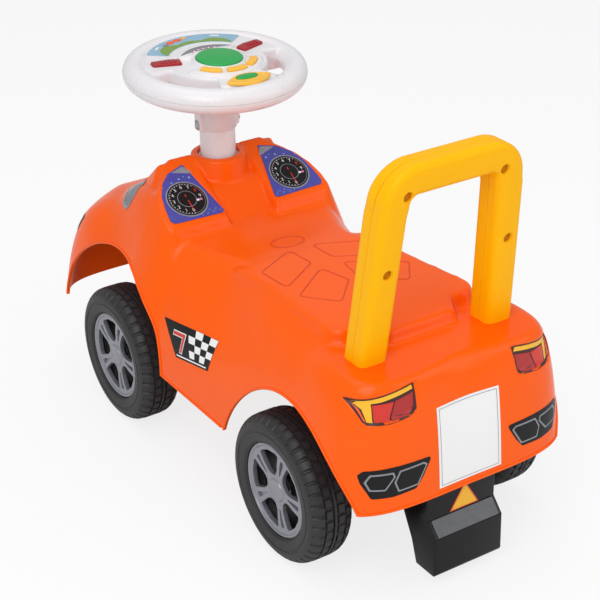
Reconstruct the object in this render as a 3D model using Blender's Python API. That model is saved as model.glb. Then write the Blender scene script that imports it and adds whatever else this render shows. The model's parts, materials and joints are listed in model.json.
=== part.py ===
"""Toddler ride-on car with a push arch, built piece by piece, in metres.

+X points forward, +Y to the left, +Z up. Sizes inside the car are measured from the rear axle,
and the empty "car" moves them so that the origin lies under the middle of the whole car.
"""

from math import asin, atan2, cos, hypot, pi, radians, sin, tan

import bmesh
import bpy
import numpy as np

# Fits
GAP = 0.0003
RUN_GAP = 0.0005
WALL = 0.0025

# Wheels and axles
TYRE_R = 0.0750
TYRE_W = 0.0464
RIM_R = 0.0485
WHEELBASE = 0.3160
REAR_WHEEL_OUT = 0.1380
FRONT_WHEEL_OUT = 0.1430
AXLE_R = 0.0040
HUB_R = 0.0120
HUB_INNER = 0.0190
HUB_OUTER = 0.0065
WEB_INNER = 0.0020
WEB_OUTER = 0.0040
AXLE_PAST_HUB = 0.0050
NUT_R = 0.0090
NUT_T = 0.0028
CAP_FACE = 0.0190
CAP_BACK = 0.0138
CAP_SPOKES = 5

# Body shell
HALF_WIDTH = 0.1380
NOSE_X = WHEELBASE + 0.1620
TAIL_X = -0.1280
NOSE_ROUND = 0.1180
TAIL_ROUND = 0.0880
NOSE_LIP_Z = 0.0930
SILL_Z = 0.0970
TAIL_LIP_Z = 0.1040
FRONT_ARCH_R = 0.1165
FRONT_ARCH_AHEAD = 0.0140
REAR_ARCH_R = 0.1030
REAR_ARCH_BEHIND = 0.0120
ARCH_INNER_Y = 0.0950
SEAT_Z = 0.2310
SEAT_REAR_Z = 0.2400
SEAT_REAR_X = -0.0200
SEAT_FRONT_X = WHEELBASE - 0.0710
DECK_Z = 0.2270
RIDGE_X = -0.0910
HOOD_Z = 0.2340
HOOD_X = WHEELBASE + 0.0740
FRONT_FENDER_Z = 0.2140
WAIST_Z = 0.1930
REAR_FENDER_Z = 0.2120
DASH_Z = 0.2600

# Dashboard pods, cowl and column boss
POD_FOOT_X = WHEELBASE - 0.0700
POD_FOOT_Z = 0.2400
POD_TOP_X = WHEELBASE + 0.0060
POD_TOP_Z = 0.2850
POD_IN_Y = 0.0310
POD_OUT_Y = 0.1000
POD_CREST_IN = 0.0480
SCREEN_FOOT_X = WHEELBASE + 0.0700
SCREEN_FOOT_Z = 0.2280
COWL_HALF = 0.0700
COWL_DROP = 0.0030
BOSS_R = 0.0295
BOSS_TOP = POD_TOP_Z - 0.0020
SLEEVE_FOOT = 0.1250
GAUGE_T = 0.0008

# Steering
COLUMN_R = 0.0190
COLUMN_WALL = 0.0025
COLUMN_TOP = 0.3430
COLUMN_FOOT = 0.0900
BUSH_WALL = 0.0030
BUSH_LENGTH = 0.0180
BUSH_FLANGE = 0.0020
BUSH_DEPTH = 0.0040
YOKE_WIDTH = 0.0240
YOKE_LOW = 0.0640
YOKE_HIGH = 0.0860
SOCKET_WALL = 0.0045
YOKE_PIN_Z = 0.1020
PIN_R = 0.0030

# Steering wheel, measured in its own plane from the middle of its rim
STEER_Z = 0.3740
STEER_TILT = radians(-2.5)
STEER_R = 0.0970
GRIP_R = 0.0130
SHELL_WALL = 0.0022
DECK_TOP = 0.0125
DISC_R = 0.0740
OPEN_IN_R = 0.0550
OPEN_OUT_R = 0.0712
OPEN_FROM = radians(94)
OPEN_TO = radians(153)
BOLT_Z = 0.3180
COLLAR_R = 0.0210
COLLAR_FOOT = BOLT_Z - 0.0062
LUG_FOOT = COLLAR_FOOT - 0.0006
LUG_REACH = 0.0245
LUG_HALF = 0.0062
LUG_SINK = 0.0025
BOLT_R = 0.0025
BOLT_HEAD_R = 0.0048
BUTTON_TRAVEL = 0.0015
HORN_R = 0.0245
HORN_X = -0.0087
CONSOLE_RISE = 0.0035
CONSOLE_FRONT_R = 0.0288
CONSOLE_REAR_R = 0.0445
CONSOLE_TURN = radians(108)
TUNE_REACH = 0.0356
TUNE_HALF = 0.0042
KEY_X = 0.0120
KEY_Y = 0.0500
KEY_TURN = radians(13)
START_X = -0.0622
LEAF_X = -0.0676
BUTTON_RISE = 0.0030
FLANGE_OUT = 0.0015
FLANGE_T = 0.0020
STEM_R = 0.0030
BOARD_Z = -0.0020
BOARD_T = 0.0016
CELL_R = 0.0070
CELL_LENGTH = 0.0500
CELL_X = 0.0340
CELL_PITCH = 0.0146
BAY_DEPTH = 0.0060
DOOR_T = 0.0020
PLATE_T = 0.0008

# Rear carrier and anti-tip block
CARRIER_HALF = 0.0780
CARRIER_FRONT = 0.0550
CARRIER_REAR = -0.0450
CARRIER_T = 0.0040
EAR_HALF = 0.0140
EAR_LOW = 0.0610
POST_R = 0.0070
POST_X = 0.0350
POST_Y = 0.0550
SCREW_R = 0.0020
SCREW_HEAD_R = 0.0042
SCREW_HEAD_T = 0.0026
BLOCK_HALF = 0.0400
BLOCK_LOW = 0.0120
BLOCK_FACE_X = -0.1280
BLOCK_FACE_TOP = 0.0540
BLOCK_LEDGE_X = -0.1140
BLOCK_LEDGE_Z = 0.0680
BLOCK_FOOT_FRONT = -0.0970
BLOCK_WALL = 0.0030
STRIP_HALF = 0.0360
STRIP_T = 0.0006

# Push arch
ARCH_REAR_X = -0.0730
ARCH_BASE_Z = 0.2275
ARCH_TOP = 0.4190
ARCH_BASE_HALF = 0.0720
ARCH_TOP_HALF = 0.0620
ARCH_BAND = 0.0300
ARCH_DEPTH = 0.0310
ARCH_LEAN = radians(6.3)
ARCH_CORNER = 0.0380
ARCH_ROUND = 0.0070
PLUG_DEPTH = 0.0240
PLUG_IN = 0.0040
ARCH_SCREW_LOW = 0.0910
ARCH_SCREW_HIGH = 0.1640

# Tail lamps
LAMP_T = 0.0012

# Facets
WHEEL_SIDES = 28
RIM_SIDES = 32
ROUND_SIDES = 24
SMALL_SIDES = 12
ARCH_SIDES = 48
BODY_COLUMNS = 60
BODY_RINGS = 6

REAR_AXLE_X = -(NOSE_X + TAIL_X) / 2


def clear_scene():
    for thing in list(bpy.data.objects):
        bpy.data.objects.remove(thing)


def material(name, colour, roughness, metallic=0.0):
    """A plain Principled material; colours are linear RGB."""
    made = bpy.data.materials.new(name)
    made.use_nodes = True
    shader = made.node_tree.nodes["Principled BSDF"]
    shader.inputs["Base Color"].default_value = (*colour, 1.0)
    shader.inputs["Roughness"].default_value = roughness
    shader.inputs["Metallic"].default_value = metallic
    return made


def empty(name, location, parent=None, tilt=0.0):
    made = bpy.data.objects.new(name, None)
    bpy.context.scene.collection.objects.link(made)
    made.parent = parent
    made.location = location
    made.rotation_euler = (0.0, tilt, 0.0)
    return made


def add_object(name, mesh, finish, parent, location=(0, 0, 0), turn=(0, 0, 0)):
    made = bpy.data.objects.new(name, mesh)
    bpy.context.scene.collection.objects.link(made)
    made.parent = parent
    made.location = location
    made.rotation_euler = turn
    if finish:
        mesh.materials.append(finish)
    mesh.shade_smooth()
    mesh.set_sharp_from_angle(angle=radians(35))
    return made


def as_tool(thing):
    """A cutter or a shape to be joined: kept in the file, left out of the model."""
    thing.hide_render = True
    thing.display_type = "WIRE"
    return thing


def boolean(target, other, operation="DIFFERENCE"):
    made = target.modifiers.new(other.name, "BOOLEAN")
    made.operation = operation
    made.solver = "EXACT"
    made.object = as_tool(other)


def mesh_of(name, points, faces):
    made = bpy.data.meshes.new(name)
    made.from_pydata([tuple(p) for p in points], [], faces)
    work = bmesh.new()
    work.from_mesh(made)
    bmesh.ops.recalc_face_normals(work, faces=work.faces)
    work.to_mesh(made)
    work.free()
    return made


def lathe(name, profile, sides, arc_start=0.0):
    """A closed (radius, height) outline turned about Z; points at radius 0 become a pole."""
    points, rows = [], []
    for radius, height in profile:
        if radius < 1e-6:
            rows.append([len(points)] * sides)
            points.append((0.0, 0.0, height))
            continue
        rows.append(list(range(len(points), len(points) + sides)))
        for i in range(sides):
            angle = arc_start + 2 * pi * i / sides
            points.append((radius * cos(angle), radius * sin(angle), height))
    faces = []
    for a, b in zip(rows, rows[1:] + rows[:1]):
        for i in range(sides):
            j = (i + 1) % sides
            corner = list(dict.fromkeys((a[i], a[j], b[j], b[i])))
            if len(corner) > 2:
                faces.append(corner)
    return mesh_of(name, points, faces)


def stack(name, outline, levels):
    """A solid of rings, one for each (offset, height), where outline(offset) gives a plan outline."""
    points, faces = [], []
    count = len(outline(0.0))
    for offset, height in levels:
        points += [(x, y, height) for x, y in outline(offset)]
    for level in range(len(levels) - 1):
        for i in range(count):
            j = (i + 1) % count
            low, high = level * count, (level + 1) * count
            faces.append((low + i, low + j, high + j, high + i))
    faces.append(tuple(range(count)))
    faces.append(tuple(range(len(points) - count, len(points))))
    return mesh_of(name, points, faces)


def side_prism(name, outline, low_y, high_y):
    """A side outline of (x, z) points carried across the car."""
    count = len(outline)
    points = [(x, low_y, z) for x, z in outline] + [(x, high_y, z) for x, z in outline]
    faces = [tuple(range(count)), tuple(range(count, 2 * count))]
    for i in range(count):
        j = (i + 1) % count
        faces.append((i, j, count + j, count + i))
    return mesh_of(name, points, faces)


def block(name, low, high):
    return stack(name, lambda offset: [(low[0], low[1]), (high[0], low[1]), (high[0], high[1]),
                                       (low[0], high[1])], [(0, low[2]), (0, high[2])])


def rod(name, radius, low, high, sides=SMALL_SIDES):
    return lathe(name, [(0, low), (radius, low), (radius, high), (0, high)], sides)


def arc(cx, cy, radius, start, end, steps):
    return [(cx + radius * cos(start + (end - start) * i / steps),
             cy + radius * sin(start + (end - start) * i / steps)) for i in range(steps + 1)]


def circle(radius, cx=0.0, cy=0.0, sides=ROUND_SIDES):
    return lambda offset: [(cx + (radius + offset) * cos(2 * pi * i / sides),
                            cy + (radius + offset) * sin(2 * pi * i / sides)) for i in range(sides)]


def rounded_box(half_x, half_y, corner, cx=0.0, cy=0.0, steps=2):
    def outline(offset):
        points = []
        for quarter, (sx, sy) in enumerate(((1, 1), (-1, 1), (-1, -1), (1, -1))):
            points += arc(cx + sx * (half_x - corner), cy + sy * (half_y - corner), corner + offset,
                          quarter * pi / 2, (quarter + 1) * pi / 2, steps)
        return points
    return outline


def ring_sector(inner, outer, start, end, cx=0.0, steps=6):
    """A stretch of a flat ring around (cx, 0), with an offset that grows it evenly."""
    def outline(offset):
        grow_in = asin(min(0.9, offset / inner))
        grow_out = asin(min(0.9, offset / outer))
        return (arc(cx, 0, outer + offset, start - grow_out, end + grow_out, steps)
                + arc(cx, 0, inner - offset, end + grow_in, start - grow_in, steps))
    return outline


def curve(knots):
    """A smooth function through (x, value) knots, with no overshoot."""
    xs = np.array([k[0] for k in knots])
    ys = np.array([k[1] for k in knots])
    step = np.diff(xs)
    slope = np.diff(ys) / step
    bend = np.zeros(len(xs))
    same = slope[:-1] * slope[1:] > 0
    bend[1:-1][same] = 2 * slope[:-1][same] * slope[1:][same] / (slope[:-1] + slope[1:])[same]

    def value(x):
        i = int(np.clip(np.searchsorted(xs, x) - 1, 0, len(step) - 1))
        t = float(np.clip((x - xs[i]) / step[i], 0, 1))
        return float(ys[i] * (1 + 2 * t) * (1 - t) ** 2 + ys[i + 1] * t * t * (3 - 2 * t)
                     + step[i] * (bend[i] * t * (1 - t) ** 2 - bend[i + 1] * t * t * (1 - t)))
    return value


def ease(t):
    t = min(1.0, max(0.0, t))
    return t * t * (3 - 2 * t)


# Body form
MIDDLE_Z = curve([(TAIL_X, DECK_Z), (SEAT_REAR_X, DECK_Z), (SEAT_REAR_X + 0.100, SEAT_Z),
                  (SEAT_FRONT_X - 0.100, SEAT_Z),
                  (SEAT_FRONT_X - 0.035, SEAT_Z - 0.005), (SEAT_FRONT_X + 0.005, SEAT_Z - 0.001),
                  (SEAT_FRONT_X + 0.045, DASH_Z), (HOOD_X - 0.030, DASH_Z - 0.013), (HOOD_X, HOOD_Z - 0.003),
                  (HOOD_X + 0.045, HOOD_Z - 0.018), (NOSE_X, HOOD_Z - 0.050)])
SHOULDER_Z = curve([(TAIL_X, REAR_FENDER_Z - 0.006), (RIDGE_X, DECK_Z - 0.008), (0.010, REAR_FENDER_Z),
                    (SEAT_FRONT_X - 0.105, WAIST_Z), (SEAT_FRONT_X - 0.015, WAIST_Z + 0.008),
                    (WHEELBASE, FRONT_FENDER_Z), (HOOD_X, FRONT_FENDER_Z),
                    (HOOD_X + 0.050, FRONT_FENDER_Z - 0.013),
                    (NOSE_X, FRONT_FENDER_Z - 0.034)])
CROWN_HALF = curve([(TAIL_X, 0.096), (SEAT_REAR_X - 0.030, 0.096), (SEAT_REAR_X + 0.010, 0.078),
                    (0.080, 0.072), (SEAT_FRONT_X - 0.085, 0.060), (SEAT_FRONT_X - 0.015, 0.078),
                    (SEAT_FRONT_X + 0.030, 0.090), (HOOD_X, 0.066), (NOSE_X, 0.050)])
ROLL = curve([(TAIL_X, 0.024), (-0.050, 0.026), (0.040, 0.036), (SEAT_FRONT_X - 0.105, 0.048),
              (SEAT_FRONT_X - 0.015, 0.046), (WHEELBASE, 0.040), (NOSE_X, 0.042)])
ROLL_POWER = 2.4
LEAN = 0.010


def top_height(x, y):
    """Height of the body's top at a plan point, before its edge rolls down."""
    half = CROWN_HALF(x)
    fall = ease((abs(y) - half) / 0.042)
    return SHOULDER_Z(x) * fall + MIDDLE_Z(x) * (1 - fall)


def outline_point(share):
    """A point of the body's plan outline, share 0 at the nose, 0.5 at the tail, back round at 1."""
    side = 1 if share <= 0.5 else -1
    along = 2 * (share if share <= 0.5 else 1 - share)
    nose_share, tail_share = 0.26, 0.76
    if along < nose_share:
        angle = pi / 2 * along / nose_share
        x = NOSE_X - NOSE_ROUND + NOSE_ROUND * cos(angle) ** (2 / 5.4)
        y = HALF_WIDTH * sin(angle) ** (2 / 5.4)
    elif along > tail_share:
        angle = pi / 2 * (1 - along) / (1 - tail_share)
        x = TAIL_X + TAIL_ROUND - TAIL_ROUND * cos(angle) ** (2 / 4.0)
        y = HALF_WIDTH * sin(angle) ** (2 / 4.0)
    else:
        middle = (along - nose_share) / (tail_share - nose_share)
        x = NOSE_X - NOSE_ROUND + (TAIL_X + TAIL_ROUND - NOSE_X + NOSE_ROUND) * middle
        y = HALF_WIDTH
    return x, side * y


def body_grid(columns, rings):
    """Points of the body's outer surface: one row round the car for each ring, sill to spine."""
    centre = (NOSE_X + TAIL_X) / 2
    grid = np.zeros((2 * rings + 2, columns, 3))
    for column in range(columns):
        ex, ey = outline_point(column / columns)
        sx = centre + 0.80 * (ex - centre)
        reach = hypot(ex - sx, ey)
        width = min(ROLL(ex), 0.9 * reach)
        foot = NOSE_LIP_Z - 0.015
        grid[0, column] = (ex, ey, foot - 0.060)
        for ring in range(2 * rings + 1):
            if ring <= rings:
                angle = pi / 2 * ring / rings
                rise = sin(angle) ** (2 / ROLL_POWER)
                inward = (LEAN * rise + width * (1 - cos(angle) ** (2 / ROLL_POWER))) / reach
            else:
                rise = 1.0
                start = (LEAN + width) / reach
                inward = start + (1 - start) * (ring - rings) / rings
            x = ex + (sx - ex) * inward
            y = ey * (1 - inward)
            grid[ring + 1, column] = (x, y, foot + (top_height(x, y) - foot) * rise)
    return grid


def grid_normals(grid):
    along = np.roll(grid, -1, axis=1) - np.roll(grid, 1, axis=1)
    across = np.gradient(grid, axis=0)
    normals = np.cross(along, across)
    size = np.linalg.norm(normals, axis=2, keepdims=True)
    normals = normals / np.maximum(size, 1e-12)
    normals[-1] = (0, 0, 1)
    outward = grid - np.array([(NOSE_X + TAIL_X) / 2, 0, 0.1])
    return normals * np.sign((normals * outward).sum(axis=2, keepdims=True))


def body_solid(name, inset):
    """The body as a closed solid with a flat foot, moved inwards by inset."""
    grid = body_grid(BODY_COLUMNS, BODY_RINGS)
    if inset:
        normals = grid_normals(grid)
        grid = grid - inset * normals
        grid[0, :, 2] -= 2 * inset
    rows, columns = grid.shape[:2]
    grid[-1, :, 1] = 0.0
    points = [tuple(p) for p in grid.reshape(-1, 3)]

    def index(row, column):
        column %= columns
        if row == rows - 1 and column > columns // 2:
            column = columns - column
        return row * columns + column

    faces = [tuple(range(columns))]
    for row in range(rows - 1):
        for column in range(columns):
            corner = (index(row, column), index(row, column + 1), index(row + 1, column + 1),
                      index(row + 1, column))
            corner = tuple(dict.fromkeys(corner))
            if len(corner) > 2:
                faces.append(corner)
    made = mesh_of(name, points, faces)
    work = bmesh.new()
    work.from_mesh(made)
    loose = [v for v in work.verts if not v.link_faces]
    bmesh.ops.delete(work, geom=loose, context="VERTS")
    work.to_mesh(made)
    work.free()
    return made


def lip_outline():
    """Everything below the body's lower edge, seen from the side."""
    front_x = WHEELBASE + FRONT_ARCH_AHEAD
    low, far = -0.2, 0.2
    return [(NOSE_X + far, low), (NOSE_X + far, NOSE_LIP_Z), (front_x, NOSE_LIP_Z), (front_x, SILL_Z),
            (-REAR_ARCH_BEHIND, SILL_Z), (-REAR_ARCH_BEHIND, TAIL_LIP_Z), (TAIL_X - far, TAIL_LIP_Z),
            (TAIL_X - far, low)]


def cut_arches(shell, car):
    """The four wheel arches, cut through the side walls only."""
    for x, radius in ((WHEELBASE + FRONT_ARCH_AHEAD, FRONT_ARCH_R), (-REAR_ARCH_BEHIND, REAR_ARCH_R)):
        for side in (1, -1):
            arch = rod("arch", radius, ARCH_INNER_Y, 0.25, ARCH_SIDES)
            boolean(shell, add_object("arch", arch, None, car, (x, 0, TYRE_R), wheel_turn(side)))


def pod_outline(side):
    """Plan outline of a dashboard pod, growing evenly with its offset."""
    def outline(offset):
        low_x, high_x = POD_FOOT_X - offset, SCREEN_FOOT_X + offset
        inner, outer = POD_IN_Y - offset, POD_OUT_Y + offset
        points = [(low_x, inner), (low_x, outer - 0.010)]
        points += arc(POD_FOOT_X + 0.010, outer - 0.010 - offset, 0.010 + offset, pi, pi / 2, 2)[1:]
        points += [(POD_FOOT_X + 0.035, outer - 0.005), (POD_TOP_X - 0.018, outer - 0.024),
                   (POD_TOP_X - 0.005, outer - 0.044), (POD_TOP_X + 0.028, outer - 0.042),
                   (high_x, outer - 0.020), (high_x, inner)]
        return [(x, side * y) for x, y in points]
    return outline


def face_height(x):
    """Height of the pods' sloping face, which carries the gauges."""
    return POD_FOOT_Z + (x - POD_FOOT_X) * (POD_TOP_Z - POD_FOOT_Z) / (POD_TOP_X - POD_FOOT_X)


def screen_height(x):
    """Height of the windscreen slope ahead of the pods."""
    share = (x - POD_TOP_X) / (SCREEN_FOOT_X - POD_TOP_X)
    return POD_TOP_Z + (SCREEN_FOOT_Z - POD_TOP_Z) * share


def pod_solid(name, side, inset):
    """A pod: its plan outline from inside the body up to the face and the windscreen slope."""
    floor = 0.200
    outline = pod_outline(side)(-inset)
    top = []
    for x, y in outline:
        top.append(min(face_height(x), screen_height(x)) - inset * 1.15)
    count = len(outline)
    peak_x = POD_TOP_X
    points = [(x, y, floor) for x, y in outline] + [(x, y, z) for (x, y), z in zip(outline, top)]
    inner_y = side * (POD_IN_Y + inset)
    outer_y = side * (POD_OUT_Y - POD_CREST_IN - inset)
    crest = POD_TOP_Z - inset * 1.15
    points += [(peak_x, inner_y, crest), (peak_x, outer_y, crest)]
    points += [(peak_x, inner_y, floor), (peak_x, outer_y, floor)]
    split = next(i for i, (x, y) in enumerate(outline) if x > peak_x)
    inner_crest, outer_crest = 2 * count, 2 * count + 1
    inner_floor, outer_floor = 2 * count + 2, 2 * count + 3
    rear = list(range(0, split))
    front = list(range(split, count))
    faces = [tuple(count + i for i in rear) + (outer_crest, inner_crest),
             tuple(count + i for i in front) + (inner_crest, outer_crest),
             tuple(rear) + (outer_floor, inner_floor), tuple(front) + (inner_floor, outer_floor)]
    ring = rear + [outer_floor] + front + [inner_floor]
    crown = [count + i for i in rear] + [outer_crest] + [count + i for i in front] + [inner_crest]
    for i in range(len(ring)):
        j = (i + 1) % len(ring)
        faces.append((ring[i], ring[j], crown[j], crown[i]))
    return mesh_of(name, points, faces)


def cowl_outline(inset):
    """Side outline of the cowl between and ahead of the pods, under the windscreen."""
    drop = inset * 1.2
    foot = SCREEN_FOOT_X + 0.001 - inset
    return [(POD_TOP_X - 0.020 + inset, 0.199), (POD_TOP_X - 0.020 + inset, POD_TOP_Z - 0.020 - drop),
            (POD_TOP_X, POD_TOP_Z - COWL_DROP - drop), (foot, screen_height(foot) - COWL_DROP - drop),
            (foot, 0.199)]


def seat_side(inset):
    """Side outline of the raised rear of the seat, which sinks into the body further forward."""
    drop = inset
    return [(SEAT_REAR_X - 0.027 + inset, 0.200), (SEAT_REAR_X - 0.025 + inset, SEAT_REAR_Z - 0.005 - drop),
            (SEAT_REAR_X, SEAT_REAR_Z - drop), (SEAT_REAR_X + 0.080, SEAT_REAR_Z - 0.0035 - drop),
            (SEAT_FRONT_X - 0.100, SEAT_Z + 0.0003 - drop), (SEAT_FRONT_X - 0.080, 0.200)]


def seat_plan(offset):
    half = 0.0830 + offset
    left = [(SEAT_FRONT_X - 0.060, half - 0.010), (0.060, half - 0.005), (SEAT_REAR_X + 0.012, half)]
    left += arc(SEAT_REAR_X + 0.012, half - 0.018 - offset, 0.018 + offset, pi / 2, pi, 3)[1:]
    left += [(SEAT_REAR_X - 0.006 - offset, 0.050), (SEAT_REAR_X - 0.028 - offset, 0.036 + offset)]
    return left + [(x, -y) for x, y in reversed(left)]


def seat_solid(name, car, inset):
    half = 0.2
    solid = add_object(name, side_prism(name, seat_side(inset), -half, half), None, car)
    plan = stack(name + "_plan", seat_plan, [(-inset, 0.1), (-inset, 0.3)])
    boolean(solid, add_object(name + "_plan", plan, None, car), "INTERSECT")
    return solid


def make_body(car, finish):
    shell = add_object("body_shell", body_solid("body_shell", 0.0), finish, car)
    boolean(shell, seat_solid("seat", car, 0.0), "UNION")
    for side, word in ((1, "left"), (-1, "right")):
        pod = add_object("pod_" + word, pod_solid("pod", side, 0.0), None, car)
        boolean(shell, pod, "UNION")
    cowl = side_prism("cowl", cowl_outline(0.0), -COWL_HALF, COWL_HALF)
    boolean(shell, add_object("cowl", cowl, None, car), "UNION")
    boss = add_object("boss", rod("boss", BOSS_R, 0.2, BOSS_TOP, ROUND_SIDES), None, car,
                      (WHEELBASE, 0, 0))
    boolean(shell, boss, "UNION")
    hollow = add_object("hollow", body_solid("hollow", WALL), None, car)
    boolean(shell, hollow)
    boolean(shell, seat_solid("seat_hollow", car, WALL))
    for side, word in ((1, "left"), (-1, "right")):
        pod = add_object("pod_hollow_" + word, pod_solid("pod", side, WALL), None, car)
        boolean(shell, pod)
    cowl = side_prism("cowl", cowl_outline(WALL), WALL - COWL_HALF, COWL_HALF - WALL)
    boolean(shell, add_object("cowl_hollow", cowl, None, car))
    sleeve = rod("sleeve", BOSS_R - GAP, SLEEVE_FOOT, BOSS_TOP - 2 * WALL, ROUND_SIDES)
    boolean(shell, add_object("sleeve", sleeve, None, car, (WHEELBASE, 0, 0)), "UNION")
    for x in (-POST_X, POST_X):
        for y in (-POST_Y, POST_Y):
            high = SEAT_REAR_Z - WALL - 0.001 if x > 0 else top_height(x, y) - WALL / 2
            post = rod("post", POST_R, carrier_top() + GAP, high)
            boolean(shell, add_object("post", post, None, car, (x, y, 0)), "UNION")
            pilot = rod("pilot", SCREW_R + GAP, 0.0, carrier_top() + 0.016)
            boolean(shell, add_object("pilot", pilot, None, car, (x, y, 0)))
    for side in (1, -1):
        socket = arch_plug("socket", side, WALL, DECK_Z - WALL / 2)
        boolean(shell, add_object("socket", socket, None, car), "UNION")
        pocket = arch_plug("pocket", side, GAP, ARCH_BASE_Z + 0.020)
        boolean(shell, add_object("pocket", pocket, None, car))
    lip = side_prism("lip", lip_outline(), -0.25, 0.25)
    boolean(shell, add_object("lip", lip, None, car))
    cut_arches(shell, car)
    bore = rod("bore", COLUMN_R + 2 * GAP + BUSH_WALL, 0.0, 0.4, ROUND_SIDES)
    boolean(shell, add_object("column_bore", bore, None, car, (WHEELBASE, 0, 0)))
    return shell


# Push arch
def lean_at(height):
    return ARCH_REAR_X - (height - ARCH_BASE_Z) * tan(ARCH_LEAN)


def arch_plug(name, side, grow, high, near=PLUG_IN, far=ARCH_DEPTH - PLUG_IN):
    """The foot of a leg below the deck, from depth near to depth far, grown on every side."""
    ys = sorted((side * (ARCH_BASE_HALF - ARCH_BAND / 2 + PLUG_IN - grow),
                 side * (ARCH_BASE_HALF + ARCH_BAND / 2 - PLUG_IN + grow)))
    low = ARCH_BASE_Z - PLUG_DEPTH - grow
    outline = [(lean_at(low) + near - grow, low), (lean_at(low) + far + grow, low),
               (lean_at(high) + far + grow, high), (lean_at(high) + near - grow, high)]
    return side_prism(name, outline, ys[0], ys[1])


def arch_outline(offset):
    """The arch seen from behind, as (y, height) points, grown evenly by offset."""
    half = ARCH_BAND / 2 + offset
    foot, top = ARCH_BASE_Z, ARCH_TOP - ARCH_BAND / 2
    slope = (ARCH_BASE_HALF - ARCH_TOP_HALF) / (top - foot)
    bend = ARCH_CORNER - ARCH_BAND / 2
    reach = ARCH_TOP_HALF - bend
    outer = [(ARCH_BASE_HALF + half, foot), (ARCH_TOP_HALF + half + slope * bend, top - bend)]
    outer += arc(reach, top - bend, bend + half, 0, pi / 2, 5)[1:]
    inner = [(ARCH_BASE_HALF - half, foot), (ARCH_TOP_HALF - half + slope * bend, top - bend)]
    inner += arc(reach, top - bend, bend - half, 0, pi / 2, 5)[1:]
    left = [(-y, z) for y, z in reversed(outer)]
    back = [(-y, z) for y, z in reversed(inner)]
    return outer + left + list(reversed(back)) + list(reversed(inner))


def arch_half(name, near, far, sign):
    """One moulded half of the arch, from depth near to depth far, its outer edges rounded."""
    steps = 2
    rings = [(0.0, near)]
    edge = far - sign * ARCH_ROUND
    for i in range(steps + 1):
        angle = pi / 2 * i / steps
        rings.append((-ARCH_ROUND * (1 - cos(angle)), edge + sign * ARCH_ROUND * sin(angle)))
    points, faces = [], []
    count = len(arch_outline(0.0))
    for offset, depth in rings:
        points += [(lean_at(z) + depth, y, z) for y, z in arch_outline(offset)]
    for level in range(len(rings) - 1):
        for i in range(count):
            j = (i + 1) % count
            faces.append((level * count + i, level * count + j, (level + 1) * count + j,
                          (level + 1) * count + i))
    half = count // 2
    for level in (0, len(rings) - 1):
        for i in range(half - 1):
            a, b = level * count + i, level * count + i + 1
            c, d = level * count + count - 2 - i, level * count + count - 1 - i
            faces.append((a, b, c, d))
    return mesh_of(name, points, faces)


def make_arch(car, finish, steel):
    middle = ARCH_DEPTH / 2
    rear = add_object("handle_rear_half", arch_half("handle_rear_half", middle - GAP / 2, 0.0, -1),
                      finish, car)
    front = add_object("handle_front_half",
                       arch_half("handle_front_half", middle + GAP / 2, ARCH_DEPTH, 1), finish, car)
    depths = ((rear, PLUG_IN, middle - 0.001), (front, middle + 0.001, ARCH_DEPTH - PLUG_IN))
    for half, near, far in depths:
        for side in (1, -1):
            plug = arch_plug("plug", side, 0.0, ARCH_BASE_Z + 0.010, near, far)
            boolean(half, add_object("plug", plug, None, car), "UNION")
    number = 0
    for rise in (ARCH_SCREW_LOW, ARCH_SCREW_HIGH):
        for side in (1, -1):
            number += 1
            height = ARCH_BASE_Z + rise
            top = ARCH_TOP - ARCH_BAND / 2
            share = (height - ARCH_BASE_Z) / (top - ARCH_BASE_Z)
            across = ARCH_BASE_HALF + (ARCH_TOP_HALF - ARCH_BASE_HALF) * share
            if rise == ARCH_SCREW_HIGH:
                across -= 0.010
            place = (lean_at(height), side * across, height)
            turn = (0, pi / 2, 0)
            sink = rod("sink", SCREW_HEAD_R + GAP, -0.01, 0.006)
            boolean(rear, add_object("sink", sink, None, car, place, turn))
            for half in (rear, front):
                pilot = rod("pilot", SCREW_R + GAP, 0.0, ARCH_DEPTH - 0.006)
                boolean(half, add_object("pilot", pilot, None, car, place, turn))
            head = 0.006 - GAP
            profile = [(0, head - SCREW_HEAD_T), (SCREW_HEAD_R, head - SCREW_HEAD_T),
                       (SCREW_HEAD_R, head), (SCREW_R, head), (SCREW_R, ARCH_DEPTH - 0.007),
                       (0, ARCH_DEPTH - 0.007)]
            screw = lathe("handle_screw_%d" % number, profile, SMALL_SIDES)
            add_object("handle_screw_%d" % number, screw, steel, car, place, turn)


# Wheels
def wheel_profile():
    half = TYRE_W / 2
    return [(AXLE_R + GAP, -HUB_INNER), (HUB_R, -HUB_INNER), (HUB_R, -WEB_INNER),
            (RIM_R - 0.004, -WEB_INNER), (RIM_R - 0.002, -half + 0.005), (RIM_R + 0.002, -half + 0.001),
            (TYRE_R - 0.009, -half), (TYRE_R - 0.002, -half + 0.006), (TYRE_R, -half + 0.012),
            (TYRE_R, half - 0.012), (TYRE_R - 0.002, half - 0.006), (TYRE_R - 0.009, half),
            (RIM_R + 0.002, half - 0.001), (RIM_R, half - 0.003), (RIM_R, WEB_OUTER + 0.006),
            (RIM_R - 0.003, WEB_OUTER), (HUB_R, WEB_OUTER), (HUB_R, HUB_OUTER),
            (AXLE_R + GAP, HUB_OUTER)]


def cap_profile():
    edge = RIM_R - GAP
    return [(0, CAP_BACK), (edge - 0.004, CAP_BACK), (edge - 0.002, CAP_BACK - 0.002),
            (edge, CAP_BACK - 0.002), (edge, CAP_FACE), (edge - 0.002, CAP_FACE + 0.0015),
            (edge - 0.006, CAP_FACE), (0.014, CAP_FACE - 0.002), (0.011, CAP_FACE + 0.0005),
            (0, CAP_FACE + 0.0005)]


def wheel_turn(side):
    """Turns a wheel's own +Z outwards along the axle."""
    return (-side * pi / 2, 0, 0)


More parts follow.
